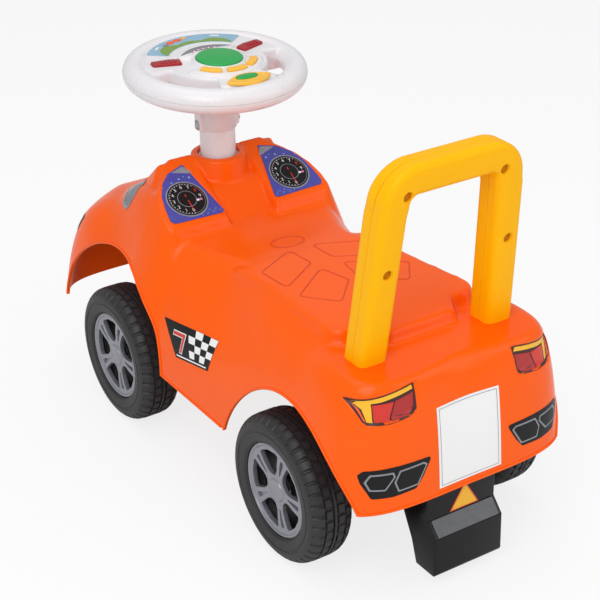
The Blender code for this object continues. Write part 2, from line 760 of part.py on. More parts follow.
def make_wheel(word, parent, side, black, silver, steel, out):
    middle = out - TYRE_W / 2
    hub = empty(word + "_wheel_axis", (0, side * middle, 0), parent)
    turn = wheel_turn(side)
    add_object("wheel_" + word, lathe("wheel", wheel_profile(), WHEEL_SIDES), black, hub, (0, 0, 0), turn)
    cap = add_object("hub_cap_" + word, lathe("hub_cap", cap_profile(), WHEEL_SIDES), silver, hub,
                     (0, 0, 0), turn)
    for spoke in range(CAP_SPOKES):
        angle = 2 * pi * spoke / CAP_SPOKES
        window = ring_sector(0.0175, RIM_R - 0.0085, angle - 0.34, angle + 0.34, steps=3)
        hole = stack("window", window, [(0, 0.0), (0, 0.05)])
        boolean(cap, add_object("window", hole, None, hub, (0, 0, 0), turn))
        between = angle + pi / CAP_SPOKES
        slot = ring_sector(0.0220, RIM_R - 0.0100, between - 0.045, between + 0.045, steps=1)
        hole = stack("slot", slot, [(0, 0.0), (0, 0.05)])
        boolean(cap, add_object("slot", hole, None, hub, (0, 0, 0), turn))
    low = HUB_OUTER + RUN_GAP
    profile = [(AXLE_R + GAP, low), (NUT_R, low), (NUT_R - 0.001, low + 0.001),
               (AXLE_R + 0.002, low + NUT_T), (AXLE_R + GAP, low + NUT_T)]
    add_object("push_nut_" + word, lathe("push_nut", profile, SMALL_SIDES), steel, parent,
               (0, side * middle, 0), turn)


def axle_half(out):
    return out - TYRE_W / 2 + HUB_OUTER + AXLE_PAST_HUB


def make_axle(name, parent, out, steel):
    half = axle_half(out)
    profile = [(0, -half), (AXLE_R - 0.001, -half), (AXLE_R, -half + 0.001), (AXLE_R, half - 0.001),
               (AXLE_R - 0.001, half), (0, half)]
    add_object(name, lathe(name, profile, ROUND_SIDES), steel, parent, (0, 0, 0), (pi / 2, 0, 0))


# Rear carrier and anti-tip block
def carrier_top():
    return TAIL_LIP_Z - 0.002


def ear_out():
    return REAR_WHEEL_OUT - TYRE_W / 2 - HUB_INNER - RUN_GAP


def make_carrier(car, black, steel):
    top = carrier_top()
    low = top - CARRIER_T
    plate = block("rear_axle_carrier", (CARRIER_REAR, -CARRIER_HALF, low), (CARRIER_FRONT, CARRIER_HALF, top))
    carrier = add_object("rear_axle_carrier", plate, black, car)
    tongue = block("tongue", (BLOCK_LEDGE_X + 0.001, -BLOCK_HALF + 0.003, low),
                   (CARRIER_REAR + 0.01, BLOCK_HALF - 0.003, top))
    boolean(carrier, add_object("tongue", tongue, None, car), "UNION")
    for side in (1, -1):
        ys = sorted((side * (CARRIER_HALF - 0.008), side * ear_out()))
        ear = block("ear", (-EAR_HALF, ys[0], EAR_LOW), (EAR_HALF, ys[1], top - 0.001))
        boolean(carrier, add_object("ear", ear, None, car), "UNION")
        rib = block("rib", (CARRIER_REAR, side * 0.030 - 0.0015, low - 0.012),
                    (CARRIER_FRONT, side * 0.030 + 0.0015, low + 0.001))
        boolean(carrier, add_object("rib", rib, None, car), "UNION")
    bore = rod("bore", AXLE_R + GAP, -0.15, 0.15, ROUND_SIDES)
    boolean(carrier, add_object("bore", bore, None, car, (0, 0, TYRE_R), (pi / 2, 0, 0)))
    number = 0
    places = [(x, y) for x in (-POST_X, POST_X) for y in (-POST_Y, POST_Y)]
    places += [(BLOCK_LEDGE_X + 0.030, 0.018), (BLOCK_LEDGE_X + 0.030, -0.018)]
    for x, y in places:
        number += 1
        hole = rod("hole", SCREW_R + GAP, 0.0, 0.2)
        boolean(carrier, add_object("hole", hole, None, car, (x, y, 0)))
        on_block = number > 4
        seat = low - (BLOCK_WALL + GAP if on_block else 0) - GAP
        tip = top - 0.0005 if on_block else top + 0.012
        name = ("block_screw_%d" % (number - 4)) if on_block else "carrier_screw_%d" % number
        profile = [(0, seat - SCREW_HEAD_T), (SCREW_HEAD_R, seat - SCREW_HEAD_T), (SCREW_HEAD_R, seat),
                   (SCREW_R, seat), (SCREW_R, tip), (0, tip)]
        add_object(name, lathe(name, profile, SMALL_SIDES), steel, car, (x, y, 0))
    return places[4:]


def block_outline():
    top = carrier_top() - CARRIER_T - GAP
    front = BLOCK_LEDGE_X + 0.052
    return [(BLOCK_FOOT_FRONT - 0.002, BLOCK_LOW), (BLOCK_FACE_X + 0.002, BLOCK_LOW),
            (BLOCK_FACE_X, BLOCK_LOW + 0.003), (BLOCK_FACE_X + 0.001, BLOCK_FACE_TOP),
            (BLOCK_LEDGE_X, BLOCK_LEDGE_Z), (BLOCK_LEDGE_X, top), (front, top), (front, top - 0.012),
            (front - 0.014, top - 0.034), (BLOCK_FOOT_FRONT + 0.006, BLOCK_LOW + 0.024)]


def block_hollow():
    top = carrier_top() - CARRIER_T - GAP - BLOCK_WALL
    wall = BLOCK_WALL
    far = 0.1
    return [(BLOCK_FACE_X + wall, BLOCK_LOW + wall), (BLOCK_FACE_X + 0.001 + wall, BLOCK_FACE_TOP - 0.001),
            (BLOCK_LEDGE_X + wall, BLOCK_LEDGE_Z - 0.001), (BLOCK_LEDGE_X + wall, top), (far, top),
            (far, BLOCK_LOW + wall)]


def make_block(car, black, strip_finish, screw_places):
    made = add_object("anti_tip_block", side_prism("anti_tip_block", block_outline(), -BLOCK_HALF,
                                                   BLOCK_HALF), black, car)
    inside = side_prism("inside", block_hollow(), BLOCK_WALL - BLOCK_HALF, BLOCK_HALF - BLOCK_WALL)
    boolean(made, add_object("inside", inside, None, car))
    for x, y in screw_places:
        hole = rod("hole", SCREW_R + GAP, 0.05, 0.2)
        boolean(made, add_object("hole", hole, None, car, (x, y, 0)))
    slope = atan2(BLOCK_LEDGE_Z - BLOCK_FACE_TOP, BLOCK_LEDGE_X - BLOCK_FACE_X - 0.001)
    length = hypot(BLOCK_LEDGE_Z - BLOCK_FACE_TOP, BLOCK_LEDGE_X - BLOCK_FACE_X - 0.001)
    strip = block("reflector_strip", (0.001, -STRIP_HALF, GAP), (length - 0.001, STRIP_HALF, GAP + STRIP_T))
    add_object("reflector_strip", strip, strip_finish, car, (BLOCK_FACE_X + 0.001, 0, BLOCK_FACE_TOP),
               (0, -slope, 0))


# Steering column and yoke
def bush_profile(low, high, flanged):
    """A ring round the column, with a flange below it where the sleeve ends."""
    inner = COLUMN_R + GAP
    outer = COLUMN_R + GAP + BUSH_WALL
    wide = outer + 0.0025
    if not flanged:
        return [(inner, low), (outer, low), (outer, high), (inner, high)]
    return [(inner, low - BUSH_FLANGE), (wide, low - BUSH_FLANGE), (wide, low), (outer, low),
            (outer, high), (inner, high)]


def make_column(steer, white, black, steel):
    profile = [(COLUMN_R - COLUMN_WALL, COLUMN_FOOT), (COLUMN_R, COLUMN_FOOT), (COLUMN_R, COLUMN_TOP),
               (COLUMN_R - COLUMN_WALL, COLUMN_TOP)]
    column = add_object("steering_column", lathe("steering_column", profile, ROUND_SIDES), white, steer)
    for height, radius in ((BOLT_Z, BOLT_R), (YOKE_PIN_Z, PIN_R)):
        hole = rod("hole", radius + GAP, -0.05, 0.05)
        boolean(column, add_object("hole", hole, None, steer, (0, 0, height), (pi / 2, 0, 0)))
    socket_in = COLUMN_R + GAP
    socket_out = socket_in + SOCKET_WALL
    top = SLEEVE_FOOT - BUSH_FLANGE - GAP - RUN_GAP
    end = FRONT_WHEEL_OUT - TYRE_W / 2 - HUB_INNER - RUN_GAP
    beam = block("front_axle_yoke", (-YOKE_WIDTH / 2, -end, YOKE_LOW), (YOKE_WIDTH / 2, end, YOKE_HIGH))
    yoke = add_object("front_axle_yoke", beam, black, steer)
    tower = rod("tower", socket_out, YOKE_LOW - 0.002, top, ROUND_SIDES)
    boolean(yoke, add_object("tower", tower, None, steer), "UNION")
    mouth = rod("mouth", socket_in, COLUMN_FOOT - GAP, 0.3, ROUND_SIDES)
    boolean(yoke, add_object("mouth", mouth, None, steer))
    bore = rod("bore", AXLE_R + GAP, -0.15, 0.15, ROUND_SIDES)
    boolean(yoke, add_object("bore", bore, None, steer, (0, 0, TYRE_R), (pi / 2, 0, 0)))
    hole = rod("hole", PIN_R + GAP, -0.05, 0.05)
    boolean(yoke, add_object("hole", hole, None, steer, (0, 0, YOKE_PIN_Z), (pi / 2, 0, 0)))
    pin = rod("yoke_pin", PIN_R, -socket_out - 0.002, socket_out + 0.002)
    add_object("yoke_pin", pin, steel, steer, (0, 0, YOKE_PIN_Z), (pi / 2, 0, 0))
    head = LUG_REACH - LUG_SINK + GAP
    profile = [(0, -head - 0.0045), (BOLT_R, -head - 0.0045), (BOLT_R, head), (BOLT_HEAD_R, head),
               (BOLT_HEAD_R, head + 0.0018), (0.003, head + 0.0026), (0, head + 0.0026)]
    add_object("column_bolt", lathe("column_bolt", profile, SMALL_SIDES), steel, steer, (0, 0, BOLT_Z),
               (-pi / 2, 0, 0))
    flat = (BOLT_R + GAP) / cos(pi / 6)
    profile = [(flat, -head - 0.0035), (0.0050, -head - 0.0035), (0.0050, -head), (flat, -head)]
    add_object("column_nut", lathe("column_nut", profile, 6), steel, steer, (0, 0, BOLT_Z),
               (-pi / 2, 0, 0))


# Steering wheel
def grip_profile(upper):
    """Half of the rim's hollow section, open at the parting plane."""
    middle = STEER_R - GRIP_R
    sign = 1 if upper else -1
    steps = 5
    outside = [(middle + GRIP_R * cos(pi * i / steps), sign * (GRIP_R * sin(pi * i / steps) + GAP / 2))
               for i in range(steps + 1)]
    hollow = GRIP_R - SHELL_WALL
    inside = [(middle + hollow * cos(pi * i / steps), sign * (hollow * sin(pi * i / steps) + GAP / 2))
              for i in range(steps + 1)]
    return outside + list(reversed(inside))


def opening(side, grow):
    first, last = sorted((side * OPEN_FROM, side * OPEN_TO))
    return ring_sector(OPEN_IN_R, OPEN_OUT_R, first - grow, last + grow)


def button_outlines():
    """Name, outline and finish of each button, in the wheel's own plane."""
    horn = circle(HORN_R, HORN_X, 0.0)
    high = DECK_TOP + CONSOLE_RISE
    found = [("horn_button", horn, "green", (HORN_X, 0.0), high)]
    for number, middle in enumerate((radians(136), radians(180), radians(224))):
        outline = ring_sector(TUNE_REACH - TUNE_HALF, TUNE_REACH + TUNE_HALF, middle - 0.31, middle + 0.31,
                              HORN_X, 3)
        centre = (HORN_X + TUNE_REACH * cos(middle), TUNE_REACH * sin(middle))
        found.append(("tune_button_%d" % (number + 1), outline, "yellow", centre, high))
    for side, word in ((1, "left"), (-1, "right")):
        centre = (KEY_X, side * KEY_Y)
        outline = turned(rounded_box(0.0075, 0.0145, 0.003, 0.0, 0.0, 1), -side * KEY_TURN, centre)
        found.append(("signal_key_" + word, outline, "red", centre, DECK_TOP))
    outline = rounded_box(0.0050, 0.0110, 0.0045, START_X, 0.0, 2)
    found.append(("start_button", outline, "green", (START_X, 0.0), DECK_TOP))
    return found


def turned(outline, angle, centre):
    """The outline turned about its origin and then moved to a centre."""
    def made(offset):
        return [(centre[0] + x * cos(angle) - y * sin(angle), centre[1] + x * sin(angle) + y * cos(angle))
                for x, y in outline(offset)]
    return made


def console(offset):
    """The raised middle of the wheel: round at the horn and wider under the tune buttons."""
    turn = CONSOLE_TURN - offset / TUNE_REACH
    return (arc(HORN_X, 0, CONSOLE_FRONT_R + offset, -turn, turn, 12)
            + arc(HORN_X, 0, CONSOLE_REAR_R + offset, turn, 2 * pi - turn, 8))


def leaf(offset):
    """The pointed oval plate on the lower spoke."""
    long_half, short_half, count = 0.0260 + 1.5 * offset, 0.0125 + offset, 6
    points = []
    for side in (1, -1):
        for i in range(count):
            share = -1 + 2 * i / count
            points.append((LEAF_X + side * short_half * (1 - share * share), side * long_half * -share))
    return points


def make_console_plates(plane, finishes):
    """The printed display and the pointed surround of the lower button, both on the upper shell."""
    display = ring_sector(0.0490, 0.0725, radians(-52), radians(52), 0.0, 10)
    low = DECK_TOP + GAP
    plate = stack("display_panel", display, [(0, low), (0, low + PLATE_T)])
    add_object("display_panel", plate, finishes["blue"], plane)
    low = GRIP_R + GAP
    bezel = stack("button_surround", leaf, [(0, low), (0, low + PLATE_T), (-0.001, low + 0.0018)])
    made = add_object("button_surround", bezel, finishes["yellow"], plane)
    outline = rounded_box(0.0050, 0.0110, 0.0045, START_X, 0.0, 2)
    hole = stack("hole", outline, [(GAP, 0.0), (GAP, 0.05)])
    boolean(made, add_object("hole", hole, None, plane))


def disc_cavity(name, plane, low, high):
    cavity = add_object(name, rod(name, DISC_R - SHELL_WALL - 0.0015, low, high, RIM_SIDES), None, plane)
    for side in (1, -1):
        keep = stack("keep", opening(side, 0.0), [(SHELL_WALL, low - 0.01), (SHELL_WALL, high + 0.01)])
        boolean(cavity, add_object("keep", keep, None, plane))
    return cavity


def make_steering_wheel(plane, steer, finishes):
    white = finishes["white"]
    buttons = button_outlines()
    half_gap = GAP / 2
    upper = add_object("steering_wheel_upper", lathe("upper", grip_profile(True), RIM_SIDES), white, plane)
    disc = add_object("upper_disc", rod("upper_disc", DISC_R, half_gap, DECK_TOP, RIM_SIDES), None, plane)
    boolean(upper, disc, "UNION")
    high = DECK_TOP + CONSOLE_RISE
    raised = stack("console", console, [(0.0012, DECK_TOP - 0.001), (0, DECK_TOP + 0.001), (0, high - 0.001),
                                        (-0.001, high)])
    boolean(upper, add_object("console", raised, None, plane), "UNION")
    boolean(upper, disc_cavity("upper_cavity", plane, -0.01, DECK_TOP - SHELL_WALL))
    room = stack("console_room", console, [(-SHELL_WALL, DECK_TOP - SHELL_WALL - 0.002),
                                           (-SHELL_WALL, high - SHELL_WALL)])
    boolean(upper, add_object("console_room", room, None, plane))
    lower = add_object("steering_wheel_lower", lathe("lower", grip_profile(False), RIM_SIDES), white, plane)
    disc = add_object("lower_disc", rod("lower_disc", DISC_R, -DECK_TOP, -half_gap, RIM_SIDES), None, plane)
    boolean(lower, disc, "UNION")
    belly = cell_box("belly", SHELL_WALL, -DECK_TOP - BAY_DEPTH, -DECK_TOP + SHELL_WALL / 2)
    boolean(lower, add_object("belly", belly, None, plane), "UNION")
    boolean(lower, disc_cavity("lower_cavity", plane, -DECK_TOP + SHELL_WALL, 0.01))
    bay = cell_box("bay", 0.0, -0.05, -DECK_TOP + SHELL_WALL + 0.001)
    boolean(lower, add_object("bay", bay, None, plane))
    for x, y in ((0.014, 0.045), (0.014, -0.045), (-0.060, 0.0)):
        stand = rod("stand", STEM_R, -DECK_TOP + SHELL_WALL / 2, BOARD_Z - GAP)
        boolean(lower, add_object("stand", stand, None, plane, (x, y, 0)), "UNION")
    collar = rod("collar", COLLAR_R, COLLAR_FOOT, STEER_Z - DECK_TOP + 0.001, ROUND_SIDES)
    boolean(lower, add_object("collar", collar, None, steer), "UNION")
    lugs = block("lugs", (-LUG_HALF, -LUG_REACH, LUG_FOOT), (LUG_HALF, LUG_REACH, STEER_Z - DECK_TOP + 0.002))
    boolean(lower, add_object("lugs", lugs, None, steer), "UNION")
    socket = rod("socket", COLUMN_R + GAP, 0.0, COLUMN_TOP + GAP, ROUND_SIDES)
    boolean(lower, add_object("socket", socket, None, steer))
    hole = rod("hole", BOLT_R + GAP, -0.05, 0.05)
    boolean(lower, add_object("hole", hole, None, steer, (0, 0, BOLT_Z), (pi / 2, 0, 0)))
    for side in (1, -1):
        low, high = sorted((side * (LUG_REACH - LUG_SINK), side * 0.05))
        sink = rod("sink", BOLT_HEAD_R + 0.0006, low, high)
        boolean(lower, add_object("sink", sink, None, steer, (0, 0, BOLT_Z), (-pi / 2, 0, 0)))
    for shell in (upper, lower):
        for side in (1, -1):
            hole = stack("opening", opening(side, 0.0), [(0, -0.05), (0, 0.05)])
            boolean(shell, add_object("opening", hole, None, plane))
    for name, outline, tint, centre, top in buttons:
        hole = stack("hole", outline, [(GAP, 0.0), (GAP, 0.05)])
        boolean(upper, add_object(name + "_hole", hole, None, plane))
    for name, outline, tint, centre, top in buttons:
        cx, cy = centre
        under = top - SHELL_WALL - GAP

        def local(offset, outline=outline, cx=cx, cy=cy):
            return [(x - cx, y - cy) for x, y in outline(offset)]

        rise = BUTTON_RISE
        levels = [(FLANGE_OUT, under - FLANGE_T), (FLANGE_OUT, under), (0, under),
                  (0, top + rise - 0.001), (-0.001, top + rise)]
        button = add_object(name, stack(name, local, levels), finishes[tint], plane, (cx, cy, 0))
        stem = rod("stem", STEM_R, board_top() + BUTTON_TRAVEL + RUN_GAP, under - FLANGE_T / 2)
        boolean(button, add_object(name + "_stem", stem, None, plane, (cx, cy, 0)), "UNION")


def board_top():
    return BOARD_Z + BOARD_T


def cell_box(name, grow, low, high):
    """The battery bay under the far side of the wheel."""
    half = CELL_LENGTH / 2 + 0.002 + grow
    first = CELL_X - CELL_R - 0.0006 - grow
    last = CELL_X + CELL_PITCH + CELL_R + 0.0006 + grow
    return block(name, (first, -half, low), (last, half, high))


def make_electrics(plane, finishes):
    far = CELL_X - CELL_R - 0.002
    left = [(far, 0.060), (0.001, 0.060), (0.001, 0.051), (-0.0250, 0.0440), (-0.0440, 0.0250),
            (-0.0475, 0.0200), (-0.0640, 0.0170)]
    edge = left + [(x, -y) for x, y in reversed(left)]
    board = stack("circuit_board", lambda offset: edge, [(0, BOARD_Z), (0, board_top())])
    add_object("circuit_board", board, finishes["board"], plane)
    for number in (0, 1):
        place = (CELL_X + number * CELL_PITCH, 0, -DECK_TOP - BAY_DEPTH + DOOR_T + CELL_R + GAP)
        half = CELL_LENGTH / 2
        profile = [(0, -half), (CELL_R, -half), (CELL_R, half - 0.0015), (0.0028, half - 0.0015),
                   (0.0028, half), (0, half)]
        name = "battery_%d" % (number + 1)
        turn = (pi / 2 if number else -pi / 2, 0, 0)
        add_object(name, lathe(name, profile, SMALL_SIDES), finishes["cell"], plane, place, turn)
    low = -DECK_TOP - BAY_DEPTH
    door = cell_box("battery_door", -GAP, low, low + DOOR_T)
    add_object("battery_door", door, finishes["white"], plane)
    profile = [(0, -0.0095), (0.0120, -0.0095), (0.0120, -0.0070), (0.0090, -0.0045), (0, -0.0045)]
    add_object("speaker", lathe("speaker", profile, 16), finishes["dark"], plane, (-0.0370, 0, 0))


# Trim plates
def make_gauges(car, finish):
    slope = atan2(POD_TOP_Z - POD_FOOT_Z, POD_TOP_X - POD_FOOT_X)
    length = hypot(POD_TOP_Z - POD_FOOT_Z, POD_TOP_X - POD_FOOT_X)
    for side, word in ((1, "left"), (-1, "right")):
        def outline(offset, side=side):
            points = [(0.008, POD_IN_Y + 0.002), (0.011, POD_OUT_Y - 0.009), (0.026, POD_OUT_Y - 0.010),
                      (0.045, POD_OUT_Y - 0.017), (0.062, POD_OUT_Y - 0.032),
                      (length - 0.010, POD_OUT_Y - 0.050), (length - 0.010, POD_IN_Y + 0.012)]
            return [(x, side * y) for x, y in points]
        plate = stack("gauge_panel", outline, [(0, GAP), (0, GAP + GAUGE_T)])
        add_object("gauge_panel_" + word, plate, finish, car, (POD_FOOT_X, 0, POD_FOOT_Z), (0, -slope, 0))


def main():
    clear_scene()
    orange = material("orange_plastic", (1.0, 0.13, 0.008), 0.25)
    yellow = material("yellow_plastic", (1.0, 0.55, 0.0), 0.35)
    white = material("white_plastic", (0.80, 0.80, 0.82), 0.30)
    black = material("black_plastic", (0.020, 0.020, 0.022), 0.45)
    silver = material("silver_plastic", (0.25, 0.26, 0.30), 0.35, 0.5)
    steel = material("steel", (0.45, 0.45, 0.46), 0.35, 1.0)
    finishes = {
        "white": white,
        "green": material("green_plastic", (0.01, 0.42, 0.06), 0.3),
        "yellow": material("button_yellow", (1.0, 0.50, 0.03), 0.3),
        "red": material("red_plastic", (0.40, 0.01, 0.02), 0.3),
        "board": material("circuit_board", (0.02, 0.16, 0.05), 0.5),
        "cell": material("cell", (0.10, 0.10, 0.12), 0.4),
        "dark": material("speaker", (0.03, 0.03, 0.03), 0.6),
        "blue": material("display_print", (0.15, 0.45, 0.85), 0.3),
    }
    car = empty("car", (REAR_AXLE_X, 0, 0))
    make_body(car, orange)
    make_arch(car, yellow, steel)
    screw_places = make_carrier(car, black, steel)
    make_block(car, black, material("reflector", (0.16, 0.17, 0.18), 0.3), screw_places)
    make_gauges(car, material("gauge_print", (0.08, 0.09, 0.45), 0.4))
    rear = empty("rear_axle_line", (0, 0, TYRE_R), car)
    make_axle("rear_axle", rear, REAR_WHEEL_OUT, steel)
    steer = empty("steering_axis", (WHEELBASE, 0, 0), car)
    front = empty("front_axle_line", (0, 0, TYRE_R), steer)
    make_axle("front_axle", front, FRONT_WHEEL_OUT, steel)
    for parent, place, out in ((rear, "rear", REAR_WHEEL_OUT), (front, "front", FRONT_WHEEL_OUT)):
        for side, word in ((1, "left"), (-1, "right")):
            make_wheel(place + "_" + word, parent, side, black, silver, steel, out)
    make_column(steer, white, black, steel)
    upper = bush_profile(BOSS_TOP - BUSH_DEPTH - BUSH_LENGTH, BOSS_TOP - BUSH_DEPTH, False)
    add_object("column_bush_upper", lathe("column_bush_upper", upper, ROUND_SIDES), white, car,
               (WHEELBASE, 0, 0))
    lower = bush_profile(SLEEVE_FOOT - GAP, SLEEVE_FOOT + BUSH_LENGTH, True)
    add_object("column_bush_lower", lathe("column_bush_lower", lower, ROUND_SIDES), white, car,
               (WHEELBASE, 0, 0))
    plane = empty("steering_wheel_plane", (0, 0, STEER_Z), steer, STEER_TILT)
    make_steering_wheel(plane, steer, finishes)
    make_console_plates(plane, finishes)
    make_electrics(plane, finishes)


main()
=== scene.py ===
"""Toddler ride-on car: the dressed model, its stage, its light and its camera."""

import json
from math import asin, atan2, cos, hypot, pi, radians, sin, tan

import bmesh
import bpy
import numpy as np
from mathutils import Matrix, Vector
from mathutils.bvhtree import BVHTree


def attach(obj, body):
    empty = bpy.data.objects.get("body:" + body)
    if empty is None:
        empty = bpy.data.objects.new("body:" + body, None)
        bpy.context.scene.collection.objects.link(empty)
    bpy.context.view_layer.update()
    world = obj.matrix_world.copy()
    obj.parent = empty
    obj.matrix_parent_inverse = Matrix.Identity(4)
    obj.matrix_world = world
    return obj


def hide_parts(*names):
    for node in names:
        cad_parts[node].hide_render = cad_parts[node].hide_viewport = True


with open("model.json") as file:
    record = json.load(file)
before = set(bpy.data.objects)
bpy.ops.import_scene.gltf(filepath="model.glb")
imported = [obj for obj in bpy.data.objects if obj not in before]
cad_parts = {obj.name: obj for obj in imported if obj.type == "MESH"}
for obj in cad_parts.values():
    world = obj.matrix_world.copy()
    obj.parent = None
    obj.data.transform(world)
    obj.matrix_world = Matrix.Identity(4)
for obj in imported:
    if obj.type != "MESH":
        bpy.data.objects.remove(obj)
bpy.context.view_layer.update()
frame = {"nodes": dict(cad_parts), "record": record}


# Places and sizes shared with the solids, in metres from the rear axle
AX = -0.175
WHEELBASE = 0.316
COL = AX + WHEELBASE
TYRE_R = 0.075
TYRE_W = 0.0464
RIM_R = 0.0485
REAR_OUT = 0.138
FRONT_OUT = 0.143
HALF_WIDTH = 0.138
NOSE_X = 0.478
TAIL_X = -0.128
NOSE_ROUND = 0.118
TAIL_ROUND = 0.088
FOOT_Z = 0.078
NOSE_LIP_Z = 0.093
SILL_Z = 0.097
TAIL_LIP_Z = 0.104
FRONT_ARCH = (0.33, 0.1165)
REAR_ARCH = (-0.012, 0.103)
ARCH_INNER_Y = 0.095
WALL = 0.0025
SEAT_Z = 0.231
SEAT_REAR_X = -0.02
SEAT_FRONT_X = 0.245
DECK_Z = 0.227
HOOD_X = 0.39
HOOD_Z = 0.234
DASH_Z = 0.26
FENDER_Z = 0.214
WAIST_Z = 0.193
REAR_FENDER_Z = 0.212
POD_FOOT = (0.246, 0.24)
POD_TOP = (0.322, 0.285)
SCREEN_FOOT = (0.386, 0.228)
BOSS_R = 0.0295
BOSS_TOP = 0.283
STEER_Z = 0.374
STEER_TILT = radians(-2.5)
STEER_R = 0.097
GRIP_R = 0.013
DECK_TOP = 0.0125
ARCH_REAR_X = -0.073
ARCH_BASE_Z = 0.2275
ARCH_TOP = 0.419
ARCH_BASE_HALF = 0.072
ARCH_TOP_HALF = 0.062
ARCH_BAND = 0.03
ARCH_DEPTH = 0.031
ARCH_LEAN = radians(6.3)
ARCH_CORNER = 0.038
ARCH_ROUND = 0.007
GAP = 0.0003
BOLT_Z = 0.318
COLLAR_R = 0.021
COLLAR_FOOT = BOLT_Z - 0.0062
LUG_REACH = 0.0245
LUG_HALF = 0.0062
LUG_SINK = 0.0025
OPEN_IN_R = 0.055
OPEN_FROM = radians(94)
OPEN_TO = radians(153)
HORN_R = 0.0245
HORN_X = -0.0087
CONSOLE_RISE = 0.0035
CONSOLE_FRONT_R = 0.0288
CONSOLE_PRINT_R = 0.042
CONSOLE_REAR_R = 0.0445
CONSOLE_TURN = radians(108)
TUNE_REACH = 0.0356
TUNE_HALF = 0.0042
KEY_X = 0.012
KEY_Y = 0.051
KEY_TURN = radians(13)
START_X = -0.0634
LEAF_X = -0.0676

PLANE = Matrix.Translation((COL, 0, STEER_Z)) @ Matrix.Rotation(STEER_TILT, 4, "Y")
SIDES = ((1, "left"), (-1, "right"))
COLUMN_PLACE = Matrix.Translation((COL, 0, 0))
GRAIN_SIZE = 900.0


# Materials
def node(tree, kind, **values):
    made = tree.nodes.new("ShaderNode" + kind)
    for key, value in values.items():
        if key in made.inputs.keys():
            made.inputs[key].default_value = value
        else:
            setattr(made, key, value)
    return made


def wire(tree, *rows):
    for start, output, end, entry in rows:
        tree.links.new(start.outputs[output], end.inputs[entry])


def plastic(name, colour, rough=0.3, metal=0.0, spread=0.05, grain=0.04, shade=0.06, coat=0.0, spec=0.5,
            patch_size=22.0):
    """Moulded plastic or metal: soft patches of tone and gloss, and a fine moulded grain."""
    made = bpy.data.materials.new(name)
    made.use_nodes = True
    tree = made.node_tree
    shader = tree.nodes["Principled BSDF"]
    values = {"Metallic": metal, "Specular IOR Level": spec, "Coat Weight": coat, "Coat Roughness": 0.1}
    for key, value in values.items():
        shader.inputs[key].default_value = value
    place = node(tree, "TexCoord")
    patches = node(tree, "TexNoise", Scale=patch_size, Detail=3.0, Roughness=0.55)
    tone = node(tree, "Mix", data_type="RGBA")
    bright = [c / 255 / 12.92 if c <= 10 else ((c / 255 + 0.055) / 1.055) ** 2.4 for c in colour]
    tone.inputs[6].default_value = (*(c * (1 - shade) for c in bright), 1)
    tone.inputs[7].default_value = (*bright, 1)
    gloss = node(tree, "MapRange")
    gloss.inputs["To Min"].default_value = max(0.02, rough - spread)
    gloss.inputs["To Max"].default_value = min(1.0, rough + spread)
    fine = node(tree, "TexNoise", Scale=GRAIN_SIZE, Detail=2.0, Roughness=0.5)
    bump = node(tree, "Bump", Strength=grain, Distance=0.0004)
    wire(tree, (place, "Object", patches, "Vector"), (patches, "Fac", tone, 0),
         (tone, 2, shader, "Base Color"), (patches, "Fac", gloss, "Value"),
         (gloss, "Result", shader, "Roughness"), (place, "Object", fine, "Vector"),
         (fine, "Fac", bump, "Height"), (bump, "Normal", shader, "Normal"))
    return made


ORANGE = plastic("orange_shell", (255, 96, 4), 0.22, shade=0.04, grain=0.03, spec=0.2)
# Painted shade: the seat's moulded lines are the shell's own orange, and this darker orange stands in for the
# shade in their grooves.
ORANGE_GROOVE_SHADE = plastic("orange_line_painted_shade", (214, 66, 8), 0.4, shade=0.1)
YELLOW = plastic("yellow_arch", (255, 186, 0), 0.42, shade=0.05, grain=0.08, spec=0.12)
WHITE = plastic("white_plastic", (230, 228, 231), 0.28, shade=0.03)
BLACK = plastic("black_plastic", (18, 18, 20), 0.2, shade=0.2, grain=0.08, spec=0.28)
HOLE = plastic("shaded_hole", (196, 122, 10), 0.6, spec=0.1)
TYRE = plastic("tyre_black", (36, 36, 38), 0.5, shade=0.25, grain=0.2, patch_size=60)
SILVER = plastic("silver_plastic", (150, 152, 160), 0.34, metal=0.6, shade=0.08, spread=0.08)
STEEL = plastic("steel", (180, 180, 182), 0.32, metal=1.0, shade=0.1, spread=0.1)
GREEN = plastic("green_plastic", (20, 165, 75), 0.28)
BUTTON = plastic("button_yellow", (252, 190, 60), 0.3)
RED = plastic("red_plastic", (170, 26, 36), 0.3, shade=0.2)
BOARD = plastic("board_green", (30, 105, 60), 0.5)
CELL = plastic("cell_grey", (90, 92, 100), 0.4, metal=0.5)
REFLECTOR = plastic("reflector", (74, 78, 86), 0.18, shade=0.75, patch_size=70, coat=0.5)
MATT = plastic("matt_black", (30, 30, 31), 0.65)
PRINT_WHITE = plastic("print_white", (240, 240, 240), 0.45, shade=0.02)
PRINT_BLACK = plastic("print_black", (22, 22, 24), 0.35, spec=0.2)
PRINT_BLUE = plastic("print_blue", (72, 76, 175), 0.4, shade=0.3, patch_size=140)
PRINT_GREY = plastic("print_grey", (128, 128, 132), 0.4)
PRINT_RED = plastic("print_red", (214, 52, 40), 0.35)
PRINT_DARK_RED = plastic("print_dark_red", (176, 40, 40), 0.35)
PRINT_YELLOW = plastic("print_yellow", (252, 190, 40), 0.35)
PRINT_ORANGE = plastic("print_orange", (240, 92, 44), 0.35)
PRINT_BROWN = plastic("print_brown", (64, 28, 26), 0.4)
PRINT_GREEN = plastic("print_green", (132, 168, 66), 0.4, shade=0.35, patch_size=160)
PRINT_SKY = plastic("print_sky", (150, 190, 215), 0.35, shade=0.25, patch_size=90)
PRINT_STEEL = plastic("print_steel", (150, 154, 162), 0.3, shade=0.3, patch_size=140)
PRINT_GLASS = plastic("print_glass", (120, 126, 136), 0.2, shade=0.45, patch_size=30, coat=0.3)
PRINT_PINK = plastic("print_pink", (215, 130, 185), 0.4)


# Mesh helpers
def raw(name, data):
    made = bpy.data.objects.new(name, data)
    bpy.context.scene.collection.objects.link(made)
    return made


